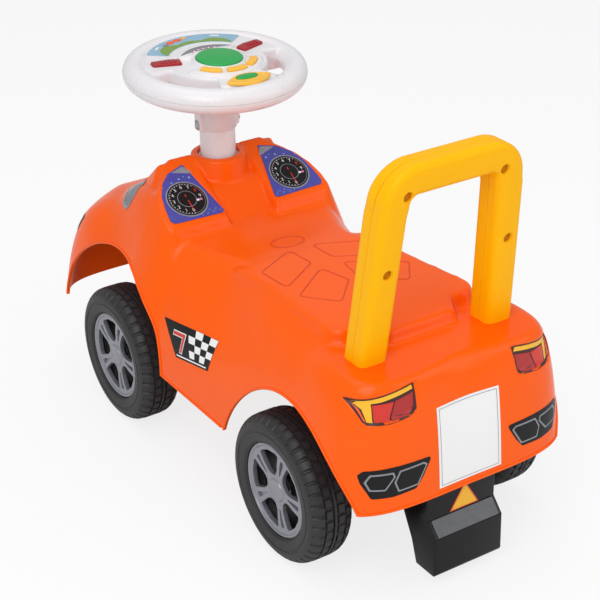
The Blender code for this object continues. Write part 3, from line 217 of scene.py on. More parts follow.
def add(name, mesh, finish, body=None, angle=35.0):
    """A finished piece; its slot follows from its finish."""
    made = raw(name, mesh)
    mesh.materials.clear()
    mesh.materials.append(finish)
    for face in mesh.polygons:
        face.material_index = 0
    mesh.shade_smooth()
    mesh.set_sharp_from_angle(angle=radians(angle))
    if body:
        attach(made, body)
    return made


def mesh_of(name, points, faces, matrix=None):
    made = bpy.data.meshes.new(name)
    made.from_pydata([tuple(p) for p in points], [], faces)
    work = bmesh.new()
    work.from_mesh(made)
    bmesh.ops.recalc_face_normals(work, faces=work.faces)
    work.to_mesh(made)
    work.free()
    if matrix is not None:
        made.transform(matrix)
    return made


def settled(name, thing, matrix=None):
    """The object's mesh with its modifiers worked in; the object itself goes."""
    deps = bpy.context.evaluated_depsgraph_get()
    made = bpy.data.meshes.new_from_object(thing.evaluated_get(deps))
    made.name = name
    tools = [m.object for m in thing.modifiers if m.type == "BOOLEAN"]
    bpy.data.objects.remove(thing)
    for tool in tools:
        if tool:
            bpy.data.objects.remove(tool)
    if matrix is not None:
        made.transform(matrix)
    return made


def cut(target, mesh, operation="DIFFERENCE"):
    made = target.modifiers.new("cut", "BOOLEAN")
    made.operation = operation
    made.solver = "EXACT"
    made.material_mode = "TRANSFER"
    made.object = raw("tool", mesh)


def bevel(target, width, angle):
    made = target.modifiers.new("edge", "BEVEL")
    made.width = width
    made.segments = 3
    made.limit_method = "ANGLE"
    made.angle_limit = radians(angle)


def lathe(name, profile, sides, matrix=None):
    """A turned solid; a profile off the axis at both ends is closed to a ring."""
    points, rows = [], []
    for radius, height in profile:
        if radius < 1e-6:
            rows.append([len(points)] * sides)
            points.append((0.0, 0.0, height))
            continue
        rows.append(list(range(len(points), len(points) + sides)))
        points += [(x, y, height) for x, y in circle(0, 0, radius, sides)]
    faces = []
    pairs = list(zip(rows, rows[1:]))
    if profile[0][0] > 1e-6 and profile[-1][0] > 1e-6:
        pairs.append((rows[-1], rows[0]))
    for a, b in pairs:
        for i in range(sides):
            j = (i + 1) % sides
            corner = list(dict.fromkeys((a[i], a[j], b[j], b[i])))
            if len(corner) > 2:
                faces.append(corner)
    return mesh_of(name, points, faces, matrix)


def stack(name, rings, matrix=None, closed=False):
    """A solid through rings of equal point counts: its ends are shut, or the last ring joins the first."""
    count = len(rings[0])
    points = [p for ring in rings for p in ring]
    faces = [] if closed else [tuple(range(count)), tuple(range(len(points) - count, len(points)))]
    for level in range(len(rings) if closed else len(rings) - 1):
        low, high = level * count, (level + 1) % len(rings) * count
        for i in range(count):
            j = (i + 1) % count
            faces.append((low + i, low + j, high + j, high + i))
    return mesh_of(name, points, faces, matrix)


def layered(name, shape, rows, matrix=None):
    """A solid through the outlines shape(grow) at the heights of its (grow, height) rows."""
    return stack(name, [[(x, y, height) for x, y in shape(grow)] for grow, height in rows], matrix)


def prism(name, outline, low, high, matrix=None):
    return layered(name, lambda grow: outline, ((0, low), (0, high)), matrix)


def side_prism(name, outline, low_y, high_y):
    return stack(name, [[(x + AX, y, z) for x, z in outline] for y in (low_y, high_y)])


def arc(cx, cy, radius, start, end, steps):
    turns = [start + (end - start) * i / steps for i in range(steps + 1)]
    return [(cx + radius * cos(t), cy + radius * sin(t)) for t in turns]


def oval(cx, cy, half_x, half_y, count):
    turns = [2 * pi * i / count for i in range(count)]
    return [(cx + half_x * cos(t), cy + half_y * sin(t)) for t in turns]


def circle(cx, cy, radius, count):
    return oval(cx, cy, radius, radius, count)


def mm(*numbers):
    """Outline points from millimetres, two numbers for each."""
    return [(a / 1000, b / 1000) for a, b in zip(numbers[::2], numbers[1::2])]


def box(low_x, low_y, high_x, high_y):
    return [(low_x, low_y), (high_x, low_y), (high_x, high_y), (low_x, high_y)]


def mirrored(outline, side):
    return [(x, side * y) for x, y in outline]


def rounded(profile, radius, steps=4):
    """Rounds the corners of a closed outline of (a, b) points."""
    out = []
    for i, spot in enumerate(profile):
        p, a, b = Vector(spot), Vector(profile[i - 1]), Vector(profile[(i + 1) % len(profile)])
        one, two = a - p, b - p
        half = one.angle(two, 0.0) / 2
        if not radians(3) <= half <= radians(84):
            out.append(tuple(p))
            continue
        back = min(radius / tan(half), one.length * 0.48, two.length * 0.48)
        start, end = p + one.normalized() * back, p + two.normalized() * back
        for k in range(steps + 1):
            t = k / steps
            out.append(tuple((1 - t) ** 2 * start + 2 * t * (1 - t) * p + t * t * end))
    return out


def soft_sector(inner, outer, start, end, corner, cx=0.0, steps=14):
    """A stretch of a flat ring around (cx, 0) with round corners."""
    points = []
    for radius, first, last in ((outer, start, end), (inner, end, start)):
        room = 2.2 * corner / radius * (1 if last > first else -1)
        points.append((cx + radius * cos(first), radius * sin(first)))
        points += arc(cx, 0, radius, first + room, last - room, steps)
        points.append((cx + radius * cos(last), radius * sin(last)))
    return rounded(points, corner, 5)


def grown(points, amount):
    """An outline moved outwards by amount, corner by corner."""
    before = [points[-1]] + points[:-1]
    area = sum(a[0] * p[1] - p[0] * a[1] for a, p in zip(before, points))
    sign = 1 if area > 0 else -1
    out = []
    for i, spot in enumerate(points):
        p, a, b = Vector(spot), Vector(points[i - 1]), Vector(points[(i + 1) % len(points)])
        one, two = (p - a).normalized(), (b - p).normalized()
        one, two = one if one.length else two, two if two.length else one
        normal = Vector((one.y + two.y, -one.x - two.x)) * sign
        if normal.length < 1e-6:
            out.append(tuple(p))
            continue
        normal.normalize()
        stretch = max(0.5, normal.dot(Vector((one.y, -one.x)) * sign))
        out.append(tuple(p + normal * amount / stretch))
    return out


def smooth_curve(knots):
    """A smooth function through (x, value) knots with no overshoot, for arrays."""
    xs = np.array([k[0] for k in knots])
    ys = np.array([k[1] for k in knots])
    step = np.diff(xs)
    slope = np.diff(ys) / step
    bend = np.zeros(len(xs))
    same = slope[:-1] * slope[1:] > 0
    bend[1:-1][same] = 2 * slope[:-1][same] * slope[1:][same] / (slope[:-1] + slope[1:])[same]

    def value(x):
        x = np.asarray(x, dtype=float)
        i = np.clip(np.searchsorted(xs, x) - 1, 0, len(step) - 1)
        t = np.clip((x - xs[i]) / step[i], 0, 1)
        return (ys[i] * (1 + 2 * t) * (1 - t) ** 2 + ys[i + 1] * t * t * (3 - 2 * t)
                + step[i] * (bend[i] * t * (1 - t) ** 2 - bend[i + 1] * t * t * (1 - t)))
    return value


def ease(t):
    t = np.clip(t, 0, 1)
    return t * t * (3 - 2 * t)


def soft_max(a, b, reach):
    near = np.clip(reach - np.abs(a - b), 0, None) / reach
    return np.maximum(a, b) + near * near * reach / 4


def outline_distance(px, py, outline):
    """Signed distance from points to a closed outline, negative inside."""
    best = np.full(px.shape, 1e9)
    inside = np.zeros(px.shape, dtype=bool)
    for i in range(len(outline)):
        ax, ay = outline[i - 1]
        bx, by = outline[i]
        dx, dy = bx - ax, by - ay
        size = dx * dx + dy * dy
        if size < 1e-14:
            continue
        t = np.clip(((px - ax) * dx + (py - ay) * dy) / size, 0, 1)
        best = np.minimum(best, np.hypot(px - ax - t * dx, py - ay - t * dy))
        if dy:
            crosses = ((ay > py) != (by > py)) & (px < (bx - ax) * (py - ay) / dy + ax)
            inside ^= crosses
    return np.where(inside, -best, best)


# Body form, the same curves as the solids
MIDDLE_Z = smooth_curve([
    (TAIL_X, DECK_Z), (SEAT_REAR_X, DECK_Z), (SEAT_REAR_X + 0.1, SEAT_Z), (SEAT_FRONT_X - 0.1, SEAT_Z),
    (SEAT_FRONT_X - 0.035, SEAT_Z - 0.005), (SEAT_FRONT_X + 0.005, SEAT_Z - 0.001),
    (SEAT_FRONT_X + 0.045, DASH_Z), (HOOD_X - 0.03, DASH_Z - 0.013), (HOOD_X, HOOD_Z - 0.003),
    (HOOD_X + 0.045, HOOD_Z - 0.018), (NOSE_X, HOOD_Z - 0.05)])
SHOULDER_Z = smooth_curve([
    (TAIL_X, REAR_FENDER_Z - 0.006), (-0.091, DECK_Z - 0.008), (0.01, REAR_FENDER_Z), (0.14, WAIST_Z),
    (0.23, WAIST_Z + 0.008), (WHEELBASE, FENDER_Z), (HOOD_X, FENDER_Z), (HOOD_X + 0.05, FENDER_Z - 0.013),
    (NOSE_X, FENDER_Z - 0.034)])
CROWN_HALF = smooth_curve([
    (TAIL_X, 0.096), (-0.05, 0.096), (-0.01, 0.078), (0.08, 0.072), (0.16, 0.06), (0.23, 0.078),
    (0.275, 0.09), (HOOD_X, 0.066), (NOSE_X, 0.05)])
ROLL = smooth_curve([
    (TAIL_X, 0.024), (-0.05, 0.026), (0.04, 0.036), (0.14, 0.048), (0.23, 0.046), (WHEELBASE, 0.04),
    (NOSE_X, 0.042)])
SEAT_TOP = smooth_curve([
    (-0.048, 0.2395), (-0.02, 0.24), (0.06, 0.2365), (0.145, 0.2313), (0.165, 0.225), (0.185, 0.2)])
ROLL_POWER = 2.4
LEAN = 0.01
NOSE_POWER = 2 / 5.4
TAIL_POWER = 2 / 4.0
NOSE_SHARE = 0.26
TAIL_SHARE = 0.76
SHOULDER_FALL = 0.042
FORM_GRID = 0.0019


def top_height(x, y):
    fall = ease((np.abs(y) - CROWN_HALF(x)) / SHOULDER_FALL)
    return SHOULDER_Z(x) * fall + MIDDLE_Z(x) * (1 - fall)


def outline_point(share):
    side = 1 if share <= 0.5 else -1
    along = 2 * (share if share <= 0.5 else 1 - share)
    nose, tail = NOSE_X - NOSE_ROUND, TAIL_X + TAIL_ROUND
    if along < NOSE_SHARE:
        angle = pi / 2 * along / NOSE_SHARE
        return nose + NOSE_ROUND * cos(angle) ** NOSE_POWER, side * HALF_WIDTH * sin(angle) ** NOSE_POWER
    if along > TAIL_SHARE:
        angle = pi / 2 * (1 - along) / (1 - TAIL_SHARE)
        return tail - TAIL_ROUND * cos(angle) ** TAIL_POWER, side * HALF_WIDTH * sin(angle) ** TAIL_POWER
    return nose + (tail - nose) * (along - NOSE_SHARE) / (TAIL_SHARE - NOSE_SHARE), side * HALF_WIDTH


def plan_outline(count):
    """The plan outline with evenly spaced points, nose first."""
    dense = np.array([outline_point(i / 6000) for i in range(6000)])
    dense = np.vstack([dense, dense[:1]])
    run = np.concatenate([[0], np.cumsum(np.hypot(*np.diff(dense, axis=0).T))])
    want = np.linspace(0, run[-1], count, endpoint=False)
    return np.interp(want, run, dense[:, 0]), np.interp(want, run, dense[:, 1])


def pod_outline(side):
    inner, outer = 0.031, 0.1
    foot, top, end = POD_FOOT[0], POD_TOP[0], SCREEN_FOOT[0]
    points = [(foot, inner), (foot, outer - 0.01)] + arc(foot + 0.01, outer - 0.01, 0.01, pi, pi / 2, 4)[1:]
    points += [(foot + 0.02, outer - 0.001), (foot + 0.036, outer - 0.006), (foot + 0.05, outer - 0.015),
               (top - 0.014, outer - 0.028), (top - 0.002, outer - 0.042), (top + 0.028, outer - 0.042),
               (end, outer - 0.02), (end, inner)]
    return mirrored(points, side)


def seat_plan():
    half = 0.083
    left = [(SEAT_FRONT_X - 0.06, half - 0.01), (0.06, half - 0.005), (SEAT_REAR_X + 0.012, half)]
    left += arc(SEAT_REAR_X + 0.012, half - 0.018, 0.018, pi / 2, pi, 6)[1:]
    left += [(SEAT_REAR_X - 0.006, 0.05), (SEAT_REAR_X - 0.028, 0.036)]
    return left + mirrored(left[::-1], -1)


def between(x, start, end):
    return start[1] + (x - start[0]) * (end[1] - start[1]) / (end[0] - start[0])


def make_body_form():
    """The body's outside with seat, pods and cowl, as one closed and evenly meshed form."""
    columns, rolls, tops = 520, 26, 56
    ex, ey = plan_outline(columns)
    centre = (NOSE_X + TAIL_X) / 2
    sx = centre + 0.8 * (ex - centre)
    reach = np.hypot(ex - sx, ey)
    width = np.minimum(ROLL(ex), 0.9 * reach)
    grid = [np.stack([ex, ey, np.full(columns, FOOT_Z - 0.06)], axis=1)]
    for ring in range(rolls + tops + 1):
        angle = pi / 2 * min(1.0, ring / rolls)
        rise = sin(angle) ** (2 / ROLL_POWER)
        inward = (LEAN * rise + width * (1 - max(0.0, cos(angle)) ** (2 / ROLL_POWER))) / reach
        if ring > rolls:
            start = (LEAN + width) / reach
            rise, inward = 1.0, start + (1 - start) * (ring - rolls) / tops
        x, y = ex + (sx - ex) * inward, ey * (1 - inward)
        grid.append(np.stack([x, y, FOOT_Z + (top_height(x, y) - FOOT_Z) * rise], axis=1))
    grid = np.array(grid)
    x, y, z = grid[1:, :, 0], grid[1:, :, 1], grid[1:, :, 2]
    apart = outline_distance(x, y, seat_plan())
    z = soft_max(z, SEAT_TOP(x) - 3.0 * np.clip(apart, 0, None), 0.003)
    screen = between(x, POD_TOP, SCREEN_FOOT)
    roof = np.minimum(between(x, POD_FOOT, POD_TOP), screen)
    for side in (1, -1):
        apart = outline_distance(x, y, pod_outline(side))
        reach = 0.003 + 0.013 * ease((np.abs(y) - 0.088) / 0.018)
        z = soft_max(z, roof - 2.6 * np.clip(apart, 0, None), reach)
    apart = outline_distance(x, y, box(POD_TOP[0] - 0.02, -0.07, SCREEN_FOOT[0], 0.07))
    roof = np.minimum(POD_TOP[1] - 0.003 + 0.85 * (x - POD_TOP[0]), screen - 0.003)
    z = soft_max(z, roof - 2.5 * np.clip(apart, 0, None), 0.004)
    grid[1:, :, 2] = z
    grid[-1, :, 1] = 0.0
    last = len(grid) - 1

    def index(row, column):
        column %= columns
        if row == last and column > columns // 2:
            column = columns - column
        return row * columns + column

    faces = [tuple(range(columns))]
    for row in range(last):
        for column in range(columns):
            corner = (index(row, column), index(row, column + 1), index(row + 1, column + 1),
                      index(row + 1, column))
            corner = tuple(dict.fromkeys(corner))
            if len(corner) > 2:
                faces.append(corner)
    mesh = mesh_of("body_form", grid.reshape(-1, 3) + np.array([AX, 0, 0]), faces)
    work = bmesh.new()
    work.from_mesh(mesh)
    bmesh.ops.delete(work, geom=[v for v in work.verts if not v.link_faces], context="VERTS")
    work.to_mesh(mesh)
    work.free()
    form = raw("body_form", mesh)
    boss = [(0, 0.2), (BOSS_R + 0.0075, 0.2), (BOSS_R + 0.005, 0.248), (BOSS_R, BOSS_TOP), (0, BOSS_TOP)]
    cut(form, lathe("boss", boss, 96, COLUMN_PLACE), "UNION")
    remesh = form.modifiers.new("even", "REMESH")
    remesh.mode = "VOXEL"
    remesh.voxel_size = FORM_GRID
    smooth = form.modifiers.new("smooth", "SMOOTH")
    smooth.factor = 0.5
    smooth.iterations = 7
    return settled("body_form", form)


LAMP_FIELD = mm(113.2, 213, 104.6, 192, 60.1, 197.2, 54.8, 221.9)
LAMP_SINK = 0.0034
LAMP_SLOPE = 0.0035
LAMP_MARGIN = 0.0022


def vertex_values(mesh, kind):
    flat = np.zeros(len(mesh.vertices) * 3)
    mesh.vertices.foreach_get(kind, flat)
    return flat.reshape(-1, 3)


def make_shell():
    """The moulded body: its form, opened below and at the wheel arches, with a wall."""
    mesh = make_body_form()
    at, normals = vertex_values(mesh, "co"), vertex_values(mesh, "normal")
    on_tail = (at[:, 0] - AX < -0.05) & (normals[:, 0] < 0.3)
    press = np.zeros(len(at))
    for side in (1, -1):
        apart = outline_distance(at[:, 1], at[:, 2], [(side * b, c) for b, c in LAMP_FIELD])
        press = np.maximum(press, np.where(on_tail, LAMP_SINK * ease((LAMP_MARGIN - apart) / LAMP_SLOPE), 0))
    mesh.vertices.foreach_set("co", (at - normals * press[:, None]).reshape(-1))
    mesh.materials.clear()
    mesh.materials.append(ORANGE)
    shell = raw("shell", mesh)
    far = 0.25
    nose, tail = NOSE_X + 0.2, TAIL_X - 0.2
    lip = [(nose, -0.2), (nose, NOSE_LIP_Z), (FRONT_ARCH[0], NOSE_LIP_Z), (FRONT_ARCH[0], SILL_Z),
           (REAR_ARCH[0], SILL_Z), (REAR_ARCH[0], TAIL_LIP_Z), (tail, TAIL_LIP_Z), (tail, -0.2)]
    openings = [side_prism("lip", lip, -far, far)]
    for cx, radius in (FRONT_ARCH, REAR_ARCH):
        ring = circle(cx, TYRE_R, radius, 144)
        openings.append(side_prism("arch", ring, ARCH_INNER_Y, far))
        openings.append(side_prism("arch", ring, -far, -ARCH_INNER_Y))
    for opening in openings:
        opening.materials.append(BLACK)
        cut(shell, opening)
    bore = lathe("bore", mm(0, 125, 22.6, 125, 22.6, 300, 0, 300), 96, COLUMN_PLACE)
    bore.materials.append(ORANGE)
    bore.materials.append(BLACK)
    for face in bore.polygons:
        if abs(face.normal.z) > 0.7:
            face.material_index = 1
    cut(shell, bore)
    made = settled("shell", shell)
    gone = {i for i, m in enumerate(made.materials) if m and m.name == BLACK.name}
    work = bmesh.new()
    work.from_mesh(made)
    bmesh.ops.delete(work, geom=[f for f in work.faces if f.material_index in gone], context="FACES")
    work.to_mesh(made)
    work.free()
    made.materials.clear()
    outside = made.copy()
    shell = raw("shell", made)
    wall = shell.modifiers.new("wall", "SOLIDIFY")
    wall.thickness = WALL
    wall.offset = -1
    piece = add("shell", settled("shell", shell), ORANGE, "car", 40)
    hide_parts("body_shell")
    return outside


shell_mesh = make_shell()
skin = BVHTree.FromPolygons([v.co.copy() for v in shell_mesh.vertices],
                            [tuple(p.vertices) for p in shell_mesh.polygons])


# Lip round the lower edge and the arches
def tube(name, line, radius, finish, sides=8, closed=False):
    """A round bead along a line of points."""
    line = [Vector(p) for p in line if p]
    rings = []
    up = None
    for i, p in enumerate(line):
        a = line[i - 1] if i or closed else p
        b = line[(i + 1) % len(line)] if i < len(line) - 1 or closed else p
        along = (b - a).normalized()
        if up is None:
            up = along.orthogonal().normalized()
        up = (up - along * up.dot(along)).normalized()
        side = along.cross(up)
        rings.append([p + radius * (c * up + s * side) for c, s in circle(0, 0, 1, sides)])
    return add(name, stack(name, rings, None, closed), finish, "car", 60)


def side_hit(x, z, side):
    spot = skin.ray_cast(Vector((x + AX, side * 0.3, z)), Vector((0, -side, 0)))[0]
    return spot if spot and spot.y * side >= ARCH_INNER_Y else None


LIP_R = 0.0014
LIP_OFF = 0.0006


def make_lips():
    for side, word in SIDES:
        for (cx, radius), place, end_z in ((FRONT_ARCH, "front", SILL_Z), (REAR_ARCH, "rear", TAIL_LIP_Z)):
            first, last = asin((SILL_Z - TYRE_R) / radius), pi - asin((end_z - TYRE_R) / radius)
            spots = [side_hit(x, z, side) for x, z in arc(cx, TYRE_R, radius + LIP_OFF, first, last, 72)]
            line = [spot + Vector((0, side * 0.0002, 0)) for spot in spots if spot]
            tube("arch_lip_%s_%s" % (place, word), line, LIP_R, ORANGE)
        line = [side_hit(x, SILL_Z + LIP_OFF, side) for x in np.linspace(0.095, 0.213, 41)]
        tube("sill_lip_" + word, line, LIP_R, ORANGE)
    for name, height, centre, spread, sign, arch in (("nose_lip", NOSE_LIP_Z, 0.3, 1.02, 1, FRONT_ARCH),
                                                     ("tail_lip", TAIL_LIP_Z, 0.02, 1.05, -1, REAR_ARCH)):
        line = []
        height += LIP_OFF
        for c, s in arc(0, 0, 0.5, -spread, spread, 120):
            aim = Vector((-sign * c, -s * 0.85, 0))
            spot = skin.ray_cast(Vector((centre + AX, 0, height)) - aim, aim.normalized())[0]
            if spot:
                ahead = spot.x - AX - arch[0]
                clear = hypot(ahead, height - TYRE_R) > arch[1] or abs(spot.y) < ARCH_INNER_Y
                if clear and ahead * sign > 0:
                    line.append(spot)
        tube(name, line, LIP_R, ORANGE)


make_lips()


# Push arch
def arch_path():
    """Middle line of the arch seen from behind, as ((y, z), outward normal)."""
    foot, top = ARCH_BASE_Z - 0.002, ARCH_TOP - ARCH_BAND / 2
    bend = ARCH_CORNER - ARCH_BAND / 2
    reach = ARCH_TOP_HALF - bend
    slope = (ARCH_BASE_HALF - ARCH_TOP_HALF) / (top - foot)
    rises = [(top - bend - foot) * i / 16 for i in range(16)]
    half = [(ARCH_BASE_HALF - slope * rise, foot + rise) for rise in rises]
    half += arc(reach, top - bend, bend, 0, pi / 2, 18) + [(reach * (1 - i / 8), top) for i in range(1, 9)]
    full = half + [(-y, z) for y, z in reversed(half[:-1])]
    out = []
    for i, p in enumerate(full):
        along = (Vector(full[min(len(full) - 1, i + 1)]) - Vector(full[max(0, i - 1)])).normalized()
        out.append((p, (along.y, -along.x)))
    return out


def make_handle():
    half = ARCH_BAND / 2
    for name, sign, far in (("handle_rear", -1, 0.0), ("handle_front", 1, ARCH_DEPTH)):
        near = ARCH_DEPTH / 2 + sign * 0.0002
        section = [(half - 0.0007, near), (half, near + sign * 0.0007)]
        turns = [pi / 2 * i / 8 for i in range(9)]
        section += [(half - ARCH_ROUND * (1 - cos(t)), far - sign * ARCH_ROUND * (1 - sin(t))) for t in turns]
        section += [(0.0, far + sign * 0.0003)]
        section += [(-a, b) for a, b in reversed(section[:-1])]
        rings = []
        for (y, z), (ny, nz) in arch_path():
            spots = [(y + ny * a, z + nz * a, depth) for a, depth in section]
            rings.append([(AX + ARCH_REAR_X - (pz - ARCH_BASE_Z) * tan(ARCH_LEAN) + depth, py, pz)
                          for py, pz, depth in spots])
        half_arch = raw(name, stack(name, rings))
        if sign < 0:
            sink = mm(0, -10, 5.2, -10, 5.2, 0.6, 4.5, 1.4, 4.5, 6, 0, 6)
            for rise, inset in ((0.091, 0.0), (0.164, 0.01)):
                share = rise / (ARCH_TOP - half - ARCH_BASE_Z)
                across = ARCH_BASE_HALF + (ARCH_TOP_HALF - ARCH_BASE_HALF) * share - inset
                x = AX + ARCH_REAR_X - rise * tan(ARCH_LEAN)
                for side in (1, -1):
                    place = Matrix.Translation((x, side * across, ARCH_BASE_Z + rise))
                    cut(half_arch, lathe("sink", sink, 40, place @ Matrix.Rotation(pi / 2, 4, "Y")))
        made = add(name, settled(name, half_arch), YELLOW, "car", 40)
        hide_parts("handle_rear_half" if sign < 0 else "handle_front_half")


make_handle()


# Wheels
def tread_rings(sides):
    """The tyre's rings from its inner face over the tread to the rim, with grooves between the blocks."""
    half = TYRE_W / 2
    rows = [(0.0043, -0.019, 0), (0.012, -0.019, 0), (0.012, -0.002, 0), (RIM_R - 0.004, -0.002, 0),
            (RIM_R - 0.002, -half + 0.005, 0), (RIM_R + 0.002, -half + 0.001, 0)]
    side = [(RIM_R + 0.006, 0.0002), (RIM_R + 0.01, 0.0), (RIM_R + 0.0105, 0.0006), (RIM_R + 0.0125, 0.0006),
            (RIM_R + 0.013, 0.0), (TYRE_R - 0.0105, 0.0), (TYRE_R - 0.0085, 0.0008), (TYRE_R - 0.007, 0.0012)]
    shoulder = [(r, w, 0) for r, w in side]
    shoulder += [(TYRE_R - drop, w, kind) for drop, w, kind in (
        (0.0055, 0.0022, 1), (0.0036, 0.004, 1), (0.0018, 0.0066, 1), (0.0008, 0.009, 1), (0.0004, 0.0112, 1),
        (0.0022, 0.0114, 0), (0.0022, 0.0132, 0), (0.0002, 0.0134, 2), (0.0, 0.016, 2), (0.0, 0.0198, 2),
        (0.002, 0.02, 0), (0.002, 0.0218, 0), (0.0, 0.022, 3))]
    rows += [(r, w - half, kind) for r, w, kind in shoulder]
    rows += [(r, half - w, kind) for r, w, kind in reversed(shoulder)]
    rows += [(RIM_R + 0.002, half - 0.001, 0), (RIM_R, half - 0.003, 0), (RIM_R, 0.01, 0),
             (RIM_R - 0.003, 0.004, 0), (0.012, 0.004, 0), (0.012, 0.0065, 0), (0.0043, 0.0065, 0)]
    rings = []
    for radius, width, kind in rows:
        shift = (4 if kind == 2 else 0) + (2 if width > 0 else 0)
        ring = []
        for i, (c, s) in enumerate(circle(0, 0, 1, sides)):
            r = radius - (0.0018 if kind in (1, 2) and (i + shift) % 8 < 2 else 0)
            ring.append((r * c, r * s, width))
        rings.append(ring)
    return rings


def bent(points, turn):
    """An outline given as (radius, angle), turned by turn."""
    return [(r * cos(turn + a), r * sin(turn + a)) for r, a in points]


def hub_mesh(name, matrix):
    edge = RIM_R - GAP
    profile = [(0, 0.0138), (edge - 0.004, 0.0138), (edge - 0.002, 0.0118), (edge, 0.0118), (edge, 0.0186),
               (edge - 0.0006, 0.0198), (edge - 0.0018, 0.0204), (edge - 0.003, 0.0202),
               (edge - 0.0042, 0.0188), (edge - 0.006, 0.0184), (0.03, 0.0186), (0.016, 0.0176),
               (0.012, 0.0178), (0.0112, 0.019), (0.01, 0.0194), (0.0, 0.0195)]
    window = [(0.0165, -0.24), (0.022, -0.4), (0.04, -0.42), (0.0408, -0.3), (0.041, 0.0), (0.0408, 0.3),
              (0.04, 0.42), (0.022, 0.4), (0.0165, 0.24), (0.0155, 0.0)]
    slot = [(0.02, -0.045), (0.0385, -0.075), (0.0392, 0.0), (0.0385, 0.075), (0.02, 0.045), (0.0192, 0.0)]
    cap = raw(name, lathe(name, profile, 160))
    for spoke in range(5):
        angle = 2 * pi * spoke / 5
        cut(cap, prism("window", rounded(bent(window, angle), 0.0022, 4), 0.0, 0.05))
        cut(cap, prism("slot", rounded(bent(slot, angle + pi / 5), 0.001, 3), 0.0155, 0.05))
    bevel(cap, 0.0006, 40)
    return settled(name, cap, matrix)


def make_wheels():
    for place, x, out in (("rear", AX, REAR_OUT), ("front", COL, FRONT_OUT)):
        for side, word in SIDES:
            name = place + "_" + word
            spot = Matrix.Translation((x, side * (out - TYRE_W / 2), TYRE_R))
            turn = spot @ Matrix.Rotation(-side * pi / 2, 4, "X")
            tyre = stack("tyre", tread_rings(320), turn, True)
            tyre = add("tyre_" + name, tyre, TYRE, name + "_wheel", 30)
            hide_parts("wheel_" + name)
            cap = add("cap_" + name, hub_mesh("cap", turn), SILVER, name + "_wheel", 30)
            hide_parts("hub_cap_" + name)


make_wheels()


# Steering wheel
def edge_rows(edge, high, steps):
    """The (grow, height) rows of a rounded upper edge."""
    turns = [pi / 2 * i / steps for i in range(steps + 1)]
    return [(-edge * (1 - cos(t)), high - edge + edge * sin(t)) for t in turns]


def flat_plate(name, outline, low, high, finish, body="steering", edge=0.0, matrix=PLANE):
    """A plate, in the wheel's plane unless told otherwise, with its upper edge rounded."""
    rows = [(0.0, low)] + (edge_rows(edge, high, 3) if edge else [(0.0, high)])
    made = layered(name, lambda grow: grown(outline, grow) if grow else outline, rows, matrix)
    return add(name, made, finish, body, 40)


def dome(name, outline, low, high, crown, finish, body):
    """A button cap: upright sides, a rounded edge and a slightly crowned top."""
    cx = sum(x for x, y in outline) / len(outline)
    cy = sum(y for x, y in outline) / len(outline)
    edge = 0.0012
    rows = [(0.0, low)] + edge_rows(edge, high, 4)
    rings = [[(x, y, height) for x, y in grown(outline, grow)] for grow, height in rows]
    inside = grown(outline, -edge)
    for share in (0.8, 0.6, 0.4, 0.2, 0.04):
        rings.append([(cx + (x - cx) * share, cy + (y - cy) * share, high + crown * (1 - share * share))
                      for x, y in inside])
    return add(name, stack(name, rings, PLANE), finish, body, 50)


def wheel_half(name, sign):
    """One moulded half: half of the grip with its hollow, and the deck inside it."""
    middle, seam, deck = STEER_R - GRIP_R, 0.00015, DECK_TOP
    grip = [(r, h + seam) for r, h in arc(middle, 0, GRIP_R, 0, pi, 24)]
    rows = [(r, h) for r, h in grip if r >= 0.076]
    if sign > 0:
        rows += [(0.0752, deck - 0.0022), (0.0742, deck - 0.0014), (0.0728, deck), (0.05, deck + 0.0001),
                 (0.0, deck + 0.0001)]
    else:
        rows += [(0.075, deck - 0.002), (0.0738, deck - 0.0004), (0.0725, deck), (0.0, deck)]
    rows += [(0.0, deck - 0.0022), (0.07, deck - 0.0022), (0.07, seam)]
    rows += [(middle + r, h) for r, h in ((-0.0105, seam), (-0.0105, 0.004), (-0.006, 0.0088), (0.0, 0.0106),
                                          (0.006, 0.0088), (0.0106, 0.004), (0.0106, seam))]
    return lathe(name, mirrored(rows, sign), 160)


def opening_rings(side, grow=0.0):
    """The opening's outline at each height, bounded by the console inside and the round rim outside."""
    first, last = sorted((side * OPEN_FROM, side * OPEN_TO))
    rings = []
    for height in (-0.02, -0.0125, -0.0118, -0.0105, -0.008, -0.004, 0, 0.004, 0.008, 0.0105, 0.0118, 0.0125,
                   0.02):
        level = min(abs(height), 0.0125)
        outer = STEER_R - GRIP_R - (GRIP_R ** 2 - level ** 2) ** 0.5 + 0.0003 + grow
        flare = 0.0016 * max(0.0, (level - 0.0095) / 0.003) ** 2
        spread = (grow + flare) / 0.062
        outline = soft_sector(OPEN_IN_R - flare - grow, outer, first - spread, last + spread, 0.0045)
        rings.append([(x, y, height) for x, y in outline])
    return rings


def turned(outline, angle, cx=0.0, cy=0.0):
    return [(cx + x * cos(angle) - y * sin(angle), cy + x * sin(angle) + y * cos(angle)) for x, y in outline]


def console(offset):
    """The raised middle: round at the horn, wider under the tune buttons and under the dark print."""
    turn = CONSOLE_TURN - offset / TUNE_REACH
    front = radians(52) + offset / CONSOLE_PRINT_R
    sweeps = ((CONSOLE_FRONT_R, -turn, -front, 8), (CONSOLE_PRINT_R, -front, front, 24),
              (CONSOLE_FRONT_R, front, turn, 8), (CONSOLE_REAR_R, turn, 2 * pi - turn, 28))
    outline = []
    for radius, start, end, steps in sweeps:
        outline += arc(HORN_X, 0, radius + offset, start, end, steps)
    return rounded(outline, 0.0035, 4)


def leaf(grow):
    """The pointed oval round the lower button."""
    long_half, short_half = 0.0266 + 1.4 * grow, 0.013 + grow
    shares = [-1 + 2 * i / 16 for i in range(16)]
    return rounded([(LEAF_X + side * short_half * (1 - share * share), -side * long_half * share)
                    for side in (1, -1) for share in shares], 0.002, 3)


def at_key(outline, side):
    return turned(outline, -side * KEY_TURN, KEY_X, side * KEY_Y)


